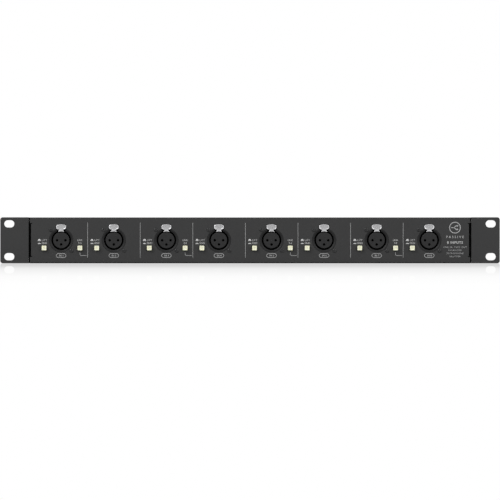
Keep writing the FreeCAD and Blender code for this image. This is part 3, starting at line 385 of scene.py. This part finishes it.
def black_screws():
    """Black oxide on steel, with bright rubs where a driver has touched the recess."""
    base = (0.01, 0.01, 0.011)
    f = Finish("black_screw_finish", base, 0.28, metallic=0.2, specular=0.3)
    f.set("Coat Weight", 1.0)
    f.set("Coat Roughness", 0.12)
    wear = f.patched(f.edges(0.16 * MM), 0.6 * MM)
    f.set("Base Color", f.blend(f.maths("MULTIPLY", wear, 0.7), base, (0.3, 0.295, 0.29)))
    f.set("Roughness", f.ranged(f.noise(0.8 * MM, 3.0), 0.22, 0.36))
    f.rounded(0.32 * MM)
    f.bump(f.noise(0.25 * MM), 0.006 * MM)
    return f.material


def plated(name, base, roughness=0.3):
    """Bright plating over steel, with cloudy passivation."""
    f = Finish(name, base, roughness, metallic=0.95)
    f.set("Base Color", f.blend(f.noise(4 * MM, 4.0), shade(base, 0.82), shade(base, 1.08)))
    f.set("Roughness", f.ranged(f.noise(1.2 * MM, 4.0), roughness - 0.07, roughness + 0.12, 0.3, 0.7))
    f.rounded(0.08 * MM)
    f.bump(f.noise(0.3 * MM, place=f.stretched((0.2, 1.0, 1.0))), 0.004 * MM)
    return f.material


def cap_plastic():
    """Ivory moulded plastic, slightly glossy, with painted shade that darkens the dished face deeper in."""
    base = (0.94, 0.94, 0.72)
    f = Finish("ivory_cap_plastic", base, 0.3)
    # Painted shade: the colour darkens deeper in the dished face.
    dish_shade = f.along("Y", *DISH_SHADE_DEPTH)
    tone = f.blend(f.noise(2.5 * MM, 3.0), shade(base, 0.95), base)
    f.set("Base Color", f.blend(dish_shade, tone, shade(base, 0.84)))
    f.set("Roughness", f.ranged(f.noise(0.9 * MM, 3.0), 0.26, 0.38, 0.3, 0.7))
    f.set("Subsurface Weight", 0.18)
    f.set("Subsurface Radius", (1.2 * MM, 1.1 * MM, 0.7 * MM))
    f.set("Subsurface Scale", 1.0)
    f.bump(f.noise(0.35 * MM), 0.005 * MM)
    return f.material


def printed_ink(name, base):
    """Screen-printed grey-white ink with a faint mesh texture."""
    f = Finish(name, base, 0.55)
    f.set("Base Color", f.blend(f.noise(0.3 * MM, 3.0), shade(base, 0.88), shade(base, 1.08)))
    f.set("Roughness", f.ranged(f.noise(0.5 * MM), 0.5, 0.65))
    f.bump(f.noise(0.12 * MM), 0.004 * MM)
    return f.material


def gap_foam():
    """Near-black rough sheet with a faint grain: painted shadow for the gaps beside the ears."""
    base = (0.0015, 0.0015, 0.0015)
    f = Finish("gap_foam", base, 0.95, specular=0.02)
    f.set("Base Color", f.blend(f.noise(0.5 * MM, 3.0), shade(base, 0.6), shade(base, 1.4)))
    f.bump(f.noise(0.4 * MM), 0.05 * MM)
    return f.material


def circuit_board():
    """Green solder mask over faint copper tracks."""
    base = (0.012, 0.10, 0.045)
    f = Finish("green_circuit_board", base, 0.32)
    across = f.add("ShaderNodeTexBrick", offset=0.37, squash=0.6, squash_frequency=3)
    f.plug(across.inputs["Vector"], f.stretched((1.0, 1.0, 1.0), (math.pi / 2, 0.0, 0.0)))
    for name, value in (("Scale", 60.0), ("Mortar Size", 0.018), ("Brick Width", 0.9), ("Row Height", 0.16)):
        across.inputs[name].default_value = value
    tracks = across.outputs["Fac"]
    mask = f.blend(f.noise(8 * MM, 3.0), shade(base, 0.8), base)
    f.set("Base Color", f.blend(tracks, mask, (0.03, 0.2, 0.08)))
    f.set("Roughness", f.ranged(f.noise(3 * MM), 0.26, 0.4))
    f.bump(tracks, 0.03 * MM)
    return f.material


def banded(name, low, high, size, direction, roughness, metallic=0.0):
    """Fine parallel bands, for laminations, windings and ribbed insulation."""
    f = Finish(name, high, roughness, metallic)
    bands = f.waves(size, direction)
    f.set("Base Color", f.blend(bands, low, high))
    f.set("Roughness", f.ranged(f.noise(2 * MM, 3.0), roughness - 0.06, roughness + 0.1))
    f.bump(bands, size * 0.2)
    return f.material


def dipped(name, base, roughness=0.3):
    """Dipped or moulded component bodies with a soft uneven gloss."""
    f = Finish(name, base, roughness)
    f.set("Base Color", f.blend(f.noise(1.5 * MM, 3.0), shade(base, 0.82), shade(base, 1.12)))
    f.set("Roughness", f.ranged(f.noise(1.0 * MM), roughness - 0.05, roughness + 0.15))
    f.rounded(0.12 * MM)
    f.bump(f.noise(0.8 * MM), 0.012 * MM)
    return f.material


def finish_table():
    """Record slot name to the material that stands for it."""
    return {
        "charcoal_powder_coat": powder_coat(),
        "black_screw_finish": black_screws(),
        "black_moulding": black_moulding("black_moulding", (0.0125, 0.0125, 0.013), 0.5, 0.012 * MM),
        "insulator_moulding": black_moulding("insulator_moulding", (0.019, 0.019, 0.0195), 0.45, 0.006 * MM),
        "satin_latch_metal": latch_metal(),
        "plated_steel": plated("plated_steel", (0.66, 0.66, 0.63)),
        "contact_plating": plated("contact_plating", (0.80, 0.76, 0.66), 0.22),
        "ivory_cap_plastic": cap_plastic(),
        "switch_body_plastic": black_moulding("switch_body_plastic", (0.08, 0.08, 0.085), 0.5, 0.01 * MM),
        "green_circuit_board": circuit_board(),
        "laminated_core_steel": banded("laminated_core_steel", (0.12, 0.12, 0.125), (0.34, 0.34, 0.35),
                                       0.5 * MM, "Y", 0.45, 0.8),
        "bobbin_plastic": dipped("bobbin_plastic", (0.62, 0.58, 0.46), 0.45),
        "copper_winding": banded("copper_winding", (0.30, 0.10, 0.04), (0.75, 0.34, 0.16),
                                 0.25 * MM, "Z", 0.3, 0.7),
        "screening_can": plated("screening_can", (0.58, 0.58, 0.6), 0.35),
        "resistor_coating": dipped("resistor_coating", (0.45, 0.32, 0.17)),
        "capacitor_case": dipped("capacitor_case", (0.55, 0.07, 0.03)),
        "ribbon_insulation": banded("ribbon_insulation", (0.2, 0.2, 0.21), (0.42, 0.42, 0.43),
                                    1.27 * MM, "X", 0.5),
        "wire_insulation": banded("wire_insulation", (0.12, 0.32, 0.04), (0.62, 0.55, 0.05),
                                  5 * MM, "X", 0.42),
    }


def dress_frame(finishes):
    """Give each carried-over node the material of its record slot, and the input contacts a near-black copy of the
    plating as painted shade.
    """
    # Painted shade: a near-black copy of the plating for the input contacts deep in their holes.
    own = {"input_contacts": plated("recessed_contacts", (0.03, 0.028, 0.025), 0.6)}
    for entry in frame["record"]["subparts"]:
        node = NODES[entry["node"]]
        for slot in node.material_slots:
            slot.link = "OBJECT"
            slot.material = own.get(entry["node"], finishes[entry["material_slot"]])


# Mesh helpers

def new_piece(name, mesh, body, place=(0.0, 0.0, 0.0)):
    """Put a mesh in the scene as a named piece that rides on a body."""
    piece = bpy.data.objects.new(name, mesh)
    bpy.context.scene.collection.objects.link(piece)
    piece.location = place
    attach(piece, body)
    return piece


def share(mesh, prefix, places, slot_name, finishes):
    """One piece for each body, all of one mesh, in place of the body's own node."""
    mesh.materials.append(finishes[slot_name])
    for body, (x, z) in places.items():
        piece = new_piece(prefix + body, mesh, body, (x, 0.0, z))
        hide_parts(body)


def mesh_from(bm, name, smooth_angle=35.0):
    """Close off a bmesh into a mesh with smooth curved stretches and sharp folds."""
    bmesh.ops.remove_doubles(bm, verts=bm.verts, dist=1e-7)
    bmesh.ops.recalc_face_normals(bm, faces=bm.faces)
    for face in bm.faces:
        face.smooth = True
    limit = math.radians(smooth_angle)
    for edge in bm.edges:
        edge.smooth = len(edge.link_faces) != 2 or edge.calc_face_angle(0.0) < limit
    mesh = bpy.data.meshes.new(name)
    bm.to_mesh(mesh)
    bm.free()
    return mesh


def loft(bm, rings):
    """Skin a stack of rings of equal length and cap both ends."""
    rows = [[bm.verts.new(point) for point in ring] for ring in rings]
    count = len(rows[0])
    for lower, upper in zip(rows, rows[1:]):
        for i in range(count):
            j = (i + 1) % count
            bm.faces.new((lower[i], lower[j], upper[j], upper[i]))
    bm.faces.new(rows[0])
    bm.faces.new(rows[-1])


def bevel_sharp(bm, verts, radius, segments=2):
    """Round every sharp edge among the given vertices."""
    chosen = set(verts)
    edges = [e for e in bm.edges if set(e.verts) <= chosen and len(e.link_faces) == 2
             and e.calc_face_angle(0.0) > math.radians(30)]
    bmesh.ops.bevel(bm, geom=edges, offset=radius, segments=segments, profile=0.5,
                    affect="EDGES", clamp_overlap=True)


def slab(bm, outline, shift, radius=0.0):
    """A flat outline pushed along a vector, with its edges rounded."""
    lower = [bm.verts.new(point) for point in outline]
    upper = [bm.verts.new(point + shift) for point in outline]
    count = len(outline)
    for i in range(count):
        j = (i + 1) % count
        bm.faces.new((lower[i], lower[j], upper[j], upper[i]))
    bm.faces.new(lower)
    bm.faces.new(upper)
    if radius:
        bmesh.ops.recalc_face_normals(bm, faces=list({f for v in lower + upper for f in v.link_faces}))
        bevel_sharp(bm, lower + upper, radius)


def arc(radius, start, end, steps):
    """Points on a circle round the origin as (x, z) pairs, angles in degrees."""
    angles = [math.radians(start + (end - start) * i / steps) for i in range(steps + 1)]
    return [(radius * math.cos(a), radius * math.sin(a)) for a in angles]


def rounded_square(half, corner, y, steps=6):
    """A ring of points round a square with round corners, in a plane of constant y."""
    ring = []
    for turn in range(4):
        for dx, dz in arc(corner, 90.0 * turn, 90.0 * (turn + 1), steps):
            sx = 1 if turn in (0, 3) else -1
            sz = 1 if turn in (0, 1) else -1
            ring.append(Vector((sx * (half - corner) + dx, y, sz * (half - corner) + dz)))
    return ring


# Latches

def plate_ring(inset, y, points=64):
    """The push plate's outline: a flattened oval, a little fuller above than below."""
    ring = []
    power = 2 / PLATE_FULLNESS
    for i in range(points):
        angle = 2 * math.pi * i / points
        c, s = math.cos(angle), math.sin(angle)
        x = (PLATE_HALF - inset) * math.copysign(abs(c) ** power, c)
        z = (PLATE_RISE - inset) * math.copysign(abs(s) ** power, s)
        ring.append(Vector((x * (1.0 - PLATE_TAPER * max(0.0, -s) ** 2), y, PLATE_Z + z)))
    return ring


def latch_plate(bm):
    """A plate with a rolled rim round a shallow field."""
    loft(bm, [plate_ring(inset * MM, PLATE_FRONT + depth * MM) for inset, depth in PLATE_PROFILE])


def latch_tongue(bm):
    """The neck below the plate, flaring to a tongue with a hollow lower edge."""
    top = PLATE_Z - PLATE_RISE + NECK_OVERLAP
    reach = math.degrees(math.acos(TONGUE_TIP / TONGUE_ARC))
    hollow = arc(TONGUE_ARC, reach, 180 - reach, 14)
    tip_z = hollow[0][1]
    low = tip_z + TONGUE_FLANK
    right = [(TONGUE_TIP, tip_z)]
    for i in range(7):
        t = i / 6
        right.append((TONGUE_NECK + (TONGUE_TIP - TONGUE_NECK) * (1 - t) ** 1.6, low + (top - low) * t))
    left = [(-x, z) for x, z in reversed(right)]
    outline = right + left + list(reversed(hollow[1:-1]))
    y = PLATE_FRONT + TONGUE_SETBACK
    slab(bm, [Vector((x, y, z)) for x, z in outline], Vector((0, TONGUE_SHEET, 0)), 0.14 * MM)


def latch_arm(bm):
    """The arm behind the plate and the hook at its end."""
    start = PLATE_FRONT + ARM_SETBACK
    back = LATCH_HIGH.y
    side = [(start, ARM_LOW), (HOOK_FRONT, ARM_LOW), (HOOK_FRONT + HOOK_SLOPE, HOOK_LOW), (back, HOOK_LOW),
            (back, ARM_TOP), (start, ARM_TOP)]
    slab(bm, [Vector((-LEVER_HALF, y, z)) for y, z in side], Vector((2 * LEVER_HALF, 0, 0)), 0.2 * MM)


def latch_eye(bm, pivot):
    """The eye above the arm that turns on the pin."""
    y, z = pivot.y, pivot.z
    foot = ARM_TOP - EYE_OVERLAP
    outer = [(y - EYE_RADIUS, foot)] + [(y - a, z + b) for a, b in arc(EYE_RADIUS, 0, 180, 20)]
    outer.append((y + EYE_RADIUS, foot))
    bore = [(y + a, z + b) for a, b in arc(EYE_BORE, 0, 345, 23)]
    rims = []
    for x in (-LEVER_HALF, LEVER_HALF):
        loops = [[bm.verts.new((x, py, pz)) for py, pz in loop] for loop in (outer, bore)]
        edges = []
        for loop in loops:
            edges += [bm.edges.new((loop[i - 1], loop[i])) for i in range(len(loop))]
        bmesh.ops.triangle_fill(bm, use_beauty=True, edges=edges)
        rims.append(loops)
    for first, second in zip(*rims):
        for i in range(len(first)):
            bm.faces.new((first[i - 1], first[i], second[i], second[i - 1]))


def text_mesh(words, height, depth, weight, spacing):
    """A word as a thin mesh in the XY plane, cap height given, centred on its cap height."""
    curve = bpy.data.curves.new("word", "FONT")
    curve.body = words
    curve.size = height / CAP_HEIGHT_SHARE
    curve.extrude = depth / 2
    curve.offset = weight
    curve.space_character = spacing
    curve.align_x = "CENTER"
    curve.resolution_u = 3
    holder = bpy.data.objects.new("word", curve)
    bpy.context.scene.collection.objects.link(holder)
    bpy.context.view_layer.update()
    mesh = bpy.data.meshes.new_from_object(holder.evaluated_get(bpy.context.evaluated_depsgraph_get()))
    bpy.data.objects.remove(holder)
    bpy.data.curves.remove(curve)
    mesh.transform(Matrix.Translation((0, -height / 2, 0)))
    return mesh


def stamp(bm, mesh, x, y, z, face=-1):
    """Stand a flat mesh upright on the front (face -1) or the rear (face 1)."""
    turn = Matrix.Rotation(math.pi / 2 * (1 + face), 4, "Z")
    mesh.transform(Matrix.Translation((x, y, z)) @ turn @ Matrix.Rotation(math.pi / 2, 4, "X"))
    bm.from_mesh(mesh)
    bpy.data.meshes.remove(mesh)


def latch_mesh(pivot):
    """One whole latch in its own channel's coordinates, with x = 0 at its middle."""
    bm = bmesh.new()
    latch_plate(bm)
    latch_tongue(bm)
    latch_arm(bm)
    latch_eye(bm, pivot)
    raised = text_mesh("PUSH", PUSH_HEIGHT, PUSH_THICKNESS, 0.035 * MM, 1.12)
    stamp(bm, raised, 0.0, PLATE_FRONT + PUSH_SETBACK, PLATE_Z)
    return mesh_from(bm, "latch")


def build_latches(finishes):
    places = {body: (pivot.x, 0.0) for body, pivot in HINGES.items()}
    share(latch_mesh(HINGES["latch_1"]), "push_", places, "satin_latch_metal", finishes)


# Push buttons

def cap_mesh():
    """A square cap with rounded edges and a dished face, and the stem behind it."""
    half = (CAP_HIGH.x - CAP_LOW.x) / 2
    bm = bmesh.new()
    rings = []
    for inset, depth in CAP_SIDES + CAP_DISH:
        shrunk = half - inset * MM
        rings.append(rounded_square(shrunk, min(CAP_CORNER, shrunk * 0.4), CAP_FRONT + depth * MM))
    loft(bm, rings)
    start = CAP_BACK - STEM_OVERLAP
    corners = ((-1, -1), (1, -1), (1, 1), (-1, 1))
    outline = [Vector((x * STEM_HALF, start, z * STEM_HALF)) for x, z in corners]
    slab(bm, outline, Vector((0, CAP_HIGH.y - start, 0)), 0.2 * MM)
    return mesh_from(bm, "cap")


def build_caps(finishes):
    places = {}
    for body in BUTTONS:
        middle = (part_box(body)[0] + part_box(body)[1]) / 2
        places[body] = (middle.x, middle.z)
    share(cap_mesh(), "cap_", places, "ivory_cap_plastic", finishes)


# Painted-shadow strips in the gaps beside the ears

def build_gap_shadow_strips(finishes):
    """A near-black strip in the gap between the panel's edge and each ear: painted shadow where the gap holds only
    shade.
    """
    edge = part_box("chassis_tray")[1].x
    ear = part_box("top_cover")[1].x
    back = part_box("top_cover")[0].y
    low = BASE + SHADOW_STRIP_CLEARANCE
    front = back - SHADOW_STRIP_CLEARANCE - SHADOW_STRIP_DEPTH
    bm = bmesh.new()
    for side in (-1, 1):
        inner, outer = edge + SHADOW_STRIP_CLEARANCE, ear - SHADOW_STRIP_CLEARANCE
        outline = [Vector((side * x, front, z)) for x, z in
                   ((inner, low), (outer, low), (outer, PANEL_TOP), (inner, PANEL_TOP))]
        slab(bm, outline, Vector((0, SHADOW_STRIP_DEPTH, 0)))
    mesh = mesh_from(bm, "gap_strips")
    mesh.materials.append(finishes["gap_foam"])
    new_piece("gap_strips", mesh, CASE)


# Printed legends

def stroke(bm, points, width, y, closed=False):
    """A printed line of even width through (x, z) points in millimetres."""
    path = [Vector((x * MM, 0, z * MM)) for x, z in points]
    count = len(path)
    half = width * MM / 2
    rows = []
    for i, here in enumerate(path):
        before = path[i - 1] if closed or i else None
        after = path[(i + 1) % count] if closed or i < count - 1 else None
        into = (here - before).normalized() if before else (after - here).normalized()
        out = (after - here).normalized() if after else into
        along = (into + out).normalized()
        side = Vector((-along.z, 0, along.x))
        reach = side * half / max(0.35, side.dot(Vector((-into.z, 0, into.x))))
        corners = [(here + reach, -1), (here - reach, -1), (here - reach, 1), (here + reach, 1)]
        rows.append([bm.verts.new((p.x, y + sign * INK / 2, p.z)) for p, sign in corners])
    for i in range(count if closed else count - 1):
        first, second = rows[i], rows[(i + 1) % count]
        for k in range(4):
            j = (k + 1) % 4
            bm.faces.new((first[k], first[j], second[j], second[k]))
    if not closed:
        bm.faces.new(rows[0])
        bm.faces.new(rows[-1])


def patch(bm, points, y):
    """A filled printed shape through (x, z) points in millimetres."""
    slab(bm, [Vector((x * MM, y - INK / 2, z * MM)) for x, z in points], Vector((0, INK, 0)))


def word(bm, words, height, x, z, y=FRONT_INK, face=-1, weight=0.03, spacing=1.08):
    """A printed word centred on (x, z), all in millimetres, with a flag on any figure one at its ends."""
    mesh = text_mesh(words, height * MM, INK, weight * MM, spacing)
    across = [v.co.x / MM for v in mesh.vertices]
    bar = height * FIGURE_ONE_WIDTH
    starts = [min(across)] if words[0] == "1" else []
    starts += [max(across) - bar] if words[-1] == "1" else []
    stamp(bm, mesh, x * MM, y, z * MM, face)
    for start in starts:
        patch(bm, [(x - face * (start + dx * height), z + dz * height) for dx, dz in FLAG], y)


def pointed_label(bm, x, z, half, rise, width, y):
    """An outline with straight long sides and bluntly pointed ends."""
    corner = half - rise * 1.05
    outline = []
    for side in (1, -1):
        for i in range(9):
            angle = math.radians(90 - 22.5 * i)
            reach = abs(math.cos(angle)) ** 1.25
            outline.append((x + side * (corner + (half - corner) * reach), z + side * rise * math.sin(angle)))
    stroke(bm, outline, width, y, closed=True)


def button_icons(bm):
    """Left of each lift button's words, the two button signs: a raised cap for out, a flat one for in."""
    turns = [math.pi * i / 14 for i in range(15)]
    half, drop, width = ICON_BAR
    for centre in CHANNEL_X:
        x = centre / MM + ICON_X
        for foot, rise in ICON_DOMES:
            patch(bm, [(x - ICON_HALF * math.cos(a), foot + rise * math.sin(a)) for a in turns], FRONT_INK)
            stroke(bm, [(x - half, foot - drop), (x + half, foot - drop)], width, FRONT_INK)


def channel_legends(bm):
    """Labels round each input: its number, the lift button's two states and the link."""
    for index, centre in enumerate(CHANNEL_X):
        x = centre / MM
        number = index + 1
        pointed_label(bm, x, LABEL_ROW, LABEL_HALF, LABEL_RISE, LABEL_LINE, FRONT_INK)
        word(bm, "IN %d" % number, NUMBER_LETTER, x + NUMBER_SHIFT, LABEL_ROW, spacing=1.0)
        word(bm, "LIFT", LETTER, x + LIFT_X, UPPER_ROW, spacing=1.2)
        word(bm, "GND", LETTER, x + LIFT_X, LOWER_ROW, spacing=0.98)
        if number % 2:
            link_legend(bm, x + LINK_X, number)


def link_legend(bm, x, number):
    """The link button's label and the bracket that points to the next channel."""
    word(bm, "LINK", LETTER, x, UPPER_ROW, spacing=0.98)
    word(bm, "%d-%d" % (number, number + 1), LETTER, x, LOWER_ROW, spacing=1.0)
    corner = x + BRACKET_RADIUS
    turn = [(corner + dx, LABEL_ROW + BRACKET_RADIUS + dz) for dx, dz in arc(BRACKET_RADIUS, 180, 270, 6)]
    stroke(bm, [(x, BRACKET_TOP)] + turn + [(x + BRACKET_REACH, LABEL_ROW)], BRACKET_LINE, FRONT_INK)


def dividers(bm):
    """Upright lines half-way between neighbouring channels."""
    top, bottom = DIVIDER_RISE
    for left, right in zip(CHANNEL_X, CHANNEL_X[1:]):
        x = (left + right) / 2 / MM + DIVIDER_SHIFT
        stroke(bm, [(x, top), (x, bottom)], DIVIDER_LINE, FRONT_INK)


def split_sign(bm, x, z):
    """A ring that holds one line splitting into two arrows."""
    ring = [(x + dx, z + dz) for dx, dz in arc(SIGN_RADIUS, 0, 354, 59)]
    stroke(bm, ring, SIGN_LINE, FRONT_INK, closed=True)
    stroke(bm, [(x + SIGN_ENTRY, z), (x + SIGN_FORK, z)], SIGN_LINE, FRONT_INK)
    for side in (-1, 1):
        row = z + side * SIGN_SPREAD
        stroke(bm, [(x + SIGN_FORK, z), (x + SIGN_BEND, row), (x + SIGN_SHAFT, row)], SIGN_LINE, FRONT_INK)
        back = x + ARROW_BACK
        patch(bm, [(back, row - ARROW_HALF), (x + ARROW_TIP, row), (back, row + ARROW_HALF)], FRONT_INK)


def title_block(bm):
    """A generic sign with generic words below."""
    split_sign(bm, TITLE_X, SIGN_Z)
    for words, height, z, weight, spacing in TITLE_LINES:
        word(bm, words, height, TITLE_X, z, weight=weight, spacing=spacing)


def rear_legends(bm):
    """Each output's number and kind, seen from behind, with a line between channels."""
    number_letter, number_row = OUTPUT_NUMBER
    kind_letter, kind_row = OUTPUT_KIND
    for index in range(OUTPUTS):
        x = ((OUTPUTS - 1) / 2 - index) * OUTPUT_PITCH
        word(bm, "OUT %d" % (index // 2 + 1), number_letter, x, number_row, REAR_INK, 1)
        word(bm, ("DIRECT", "ISOLATED")[index % 2], kind_letter, x, kind_row, REAR_INK, 1, weight=0.01)
    top, bottom = REAR_LINE_RISE
    for i in range(1, CHANNELS):
        x = (2 * i - CHANNELS) * OUTPUT_PITCH
        stroke(bm, [(x, top), (x, bottom)], DIVIDER_LINE, REAR_INK)


def build_legends(finishes):
    groups = {"legend_channels": (channel_legends, "legend_ink"), "legend_icons": (button_icons, "icon_ink"),
              "legend_dividers": (dividers, "legend_ink"), "legend_title": (title_block, "legend_ink"),
              "legend_outputs": (rear_legends, "legend_ink")}
    for name, (build, ink) in groups.items():
        bm = bmesh.new()
        build(bm)
        mesh = mesh_from(bm, name)
        mesh.materials.append(finishes[ink])
        new_piece(name, mesh, CASE)


# Stage

def floor_material():
    """Pale paper that shows the camera pure white, with a mirror image that fades with distance."""
    f = Finish("floor_paper", (0.5, 0.5, 0.5), 0.8, specular=0.1)
    f.set("Base Color", f.blend(f.noise(0.4, 3.0), (0.49, 0.49, 0.49), (0.51, 0.51, 0.51)))
    paper = f.add("ShaderNodeMixShader")
    f.plug(paper.inputs["Fac"], f.add("ShaderNodeLightPath").outputs["Is Camera Ray"])
    f.tree.links.new(f.shader.outputs["BSDF"], paper.inputs[1])
    f.tree.links.new(f.add("ShaderNodeEmission").outputs["Emission"], paper.inputs[2])
    distance = f.add("ShaderNodeVectorMath", operation="LENGTH")
    f.plug(distance.inputs[0], f.place)
    fade = f.add("ShaderNodeValToRGB")
    f.plug(fade.inputs["Fac"], f.ranged(distance.outputs["Value"], 0.0, 1.0, 0.0, MIRROR_REACH))
    stops = fade.color_ramp.elements
    for place, level in FLOOR_MIRROR[1:-1]:
        stops.new(place)
    for stop, (place, level) in zip(stops, FLOOR_MIRROR):
        stop.position = place
        stop.color = (level, level, level, 1.0)
    facing = f.add("ShaderNodeLayerWeight").outputs["Facing"]
    mirror = f.add("ShaderNodeBsdfGlossy")
    mirror.inputs["Roughness"].default_value = 0.0
    mixed = f.add("ShaderNodeMixShader")
    grazing = f.maths("POWER", facing, GRAZING_POWER)
    f.plug(mixed.inputs["Fac"], f.maths("MULTIPLY", grazing, fade.outputs["Color"]))
    f.tree.links.new(paper.outputs["Shader"], mixed.inputs[1])
    f.tree.links.new(mirror.outputs["BSDF"], mixed.inputs[2])
    f.tree.links.new(mixed.outputs["Shader"], f.tree.nodes["Material Output"].inputs["Surface"])
    return f.material


def build_floor():
    bm = bmesh.new()
    corners = ((-1, -1), (1, -1), (1, 1), (-1, 1))
    bm.faces.new([bm.verts.new((x * FLOOR_HALF, y * FLOOR_HALF, BASE)) for x, y in corners])
    mesh = bpy.data.meshes.new("floor")
    bm.to_mesh(mesh)
    bm.free()
    floor = bpy.data.objects.new("floor", mesh)
    bpy.context.scene.collection.objects.link(floor)
    mesh.materials.append(floor_material())


def soft_light(name, place, size, power):
    """A large square lamp aimed at the object."""
    lamp = bpy.data.lights.new(name, "AREA")
    lamp.size = size
    lamp.energy = power
    holder = bpy.data.objects.new(name, lamp)
    bpy.context.scene.collection.objects.link(holder)
    holder.location = place
    holder.rotation_euler = (-Vector(place)).to_track_quat("-Z", "Y").to_euler()


def build_world():
    """White to the camera and in the floor's mirror, and a softer surround to everything else."""
    world = bpy.data.worlds.new("studio")
    bpy.context.scene.world = world
    world.use_nodes = True
    tree = world.node_tree
    seen = tree.nodes["Background"]
    seen.inputs["Color"].default_value = (1.0, 1.0, 1.0, 1.0)
    seen.inputs["Strength"].default_value = 1.0
    soft = tree.nodes.new("ShaderNodeBackground")
    soft.inputs["Strength"].default_value = SURROUND
    path = tree.nodes.new("ShaderNodeLightPath")
    either = tree.nodes.new("ShaderNodeMath")
    either.operation = "MAXIMUM"
    tree.links.new(path.outputs["Is Camera Ray"], either.inputs[0])
    tree.links.new(path.outputs["Is Singular Ray"], either.inputs[1])
    mixed = tree.nodes.new("ShaderNodeMixShader")
    tree.links.new(either.outputs["Value"], mixed.inputs["Fac"])
    tree.links.new(soft.outputs["Background"], mixed.inputs[1])
    tree.links.new(seen.outputs["Background"], mixed.inputs[2])
    tree.links.new(mixed.outputs["Shader"], tree.nodes["World Output"].inputs["Surface"])


def build_camera():
    """A long lens, level, straight in front and a little below the object's middle."""
    camera = bpy.data.cameras.new("camera")
    camera.lens = LENS
    camera.sensor_width = SENSOR
    camera.clip_end = 100.0
    holder = bpy.data.objects.new("camera", camera)
    bpy.context.scene.collection.objects.link(holder)
    distance = FRAME_WIDTH * LENS / SENSOR
    holder.location = (0.0, PANEL_FACE - distance, -CAMERA_DROP)
    holder.rotation_euler = (math.pi / 2, 0.0, 0.0)
    bpy.context.scene.camera = holder


def build_stage():
    build_floor()
    build_world()
    for lamp in LAMPS:
        soft_light(*lamp)
    build_camera()
    bpy.context.scene.view_settings.view_transform = "Standard"


def main():
    finishes = finish_table()
    finishes["legend_ink"] = printed_ink("legend_ink", (0.42, 0.42, 0.42))
    finishes["icon_ink"] = printed_ink("icon_ink", (0.62, 0.62, 0.62))
    # Near-black sheet for the painted shadow in the ear gaps.
    finishes["gap_foam"] = gap_foam()
    dress_frame(finishes)
    build_latches(finishes)
    build_caps(finishes)
    build_gap_shadow_strips(finishes)
    build_legends(finishes)
    build_stage()


main()
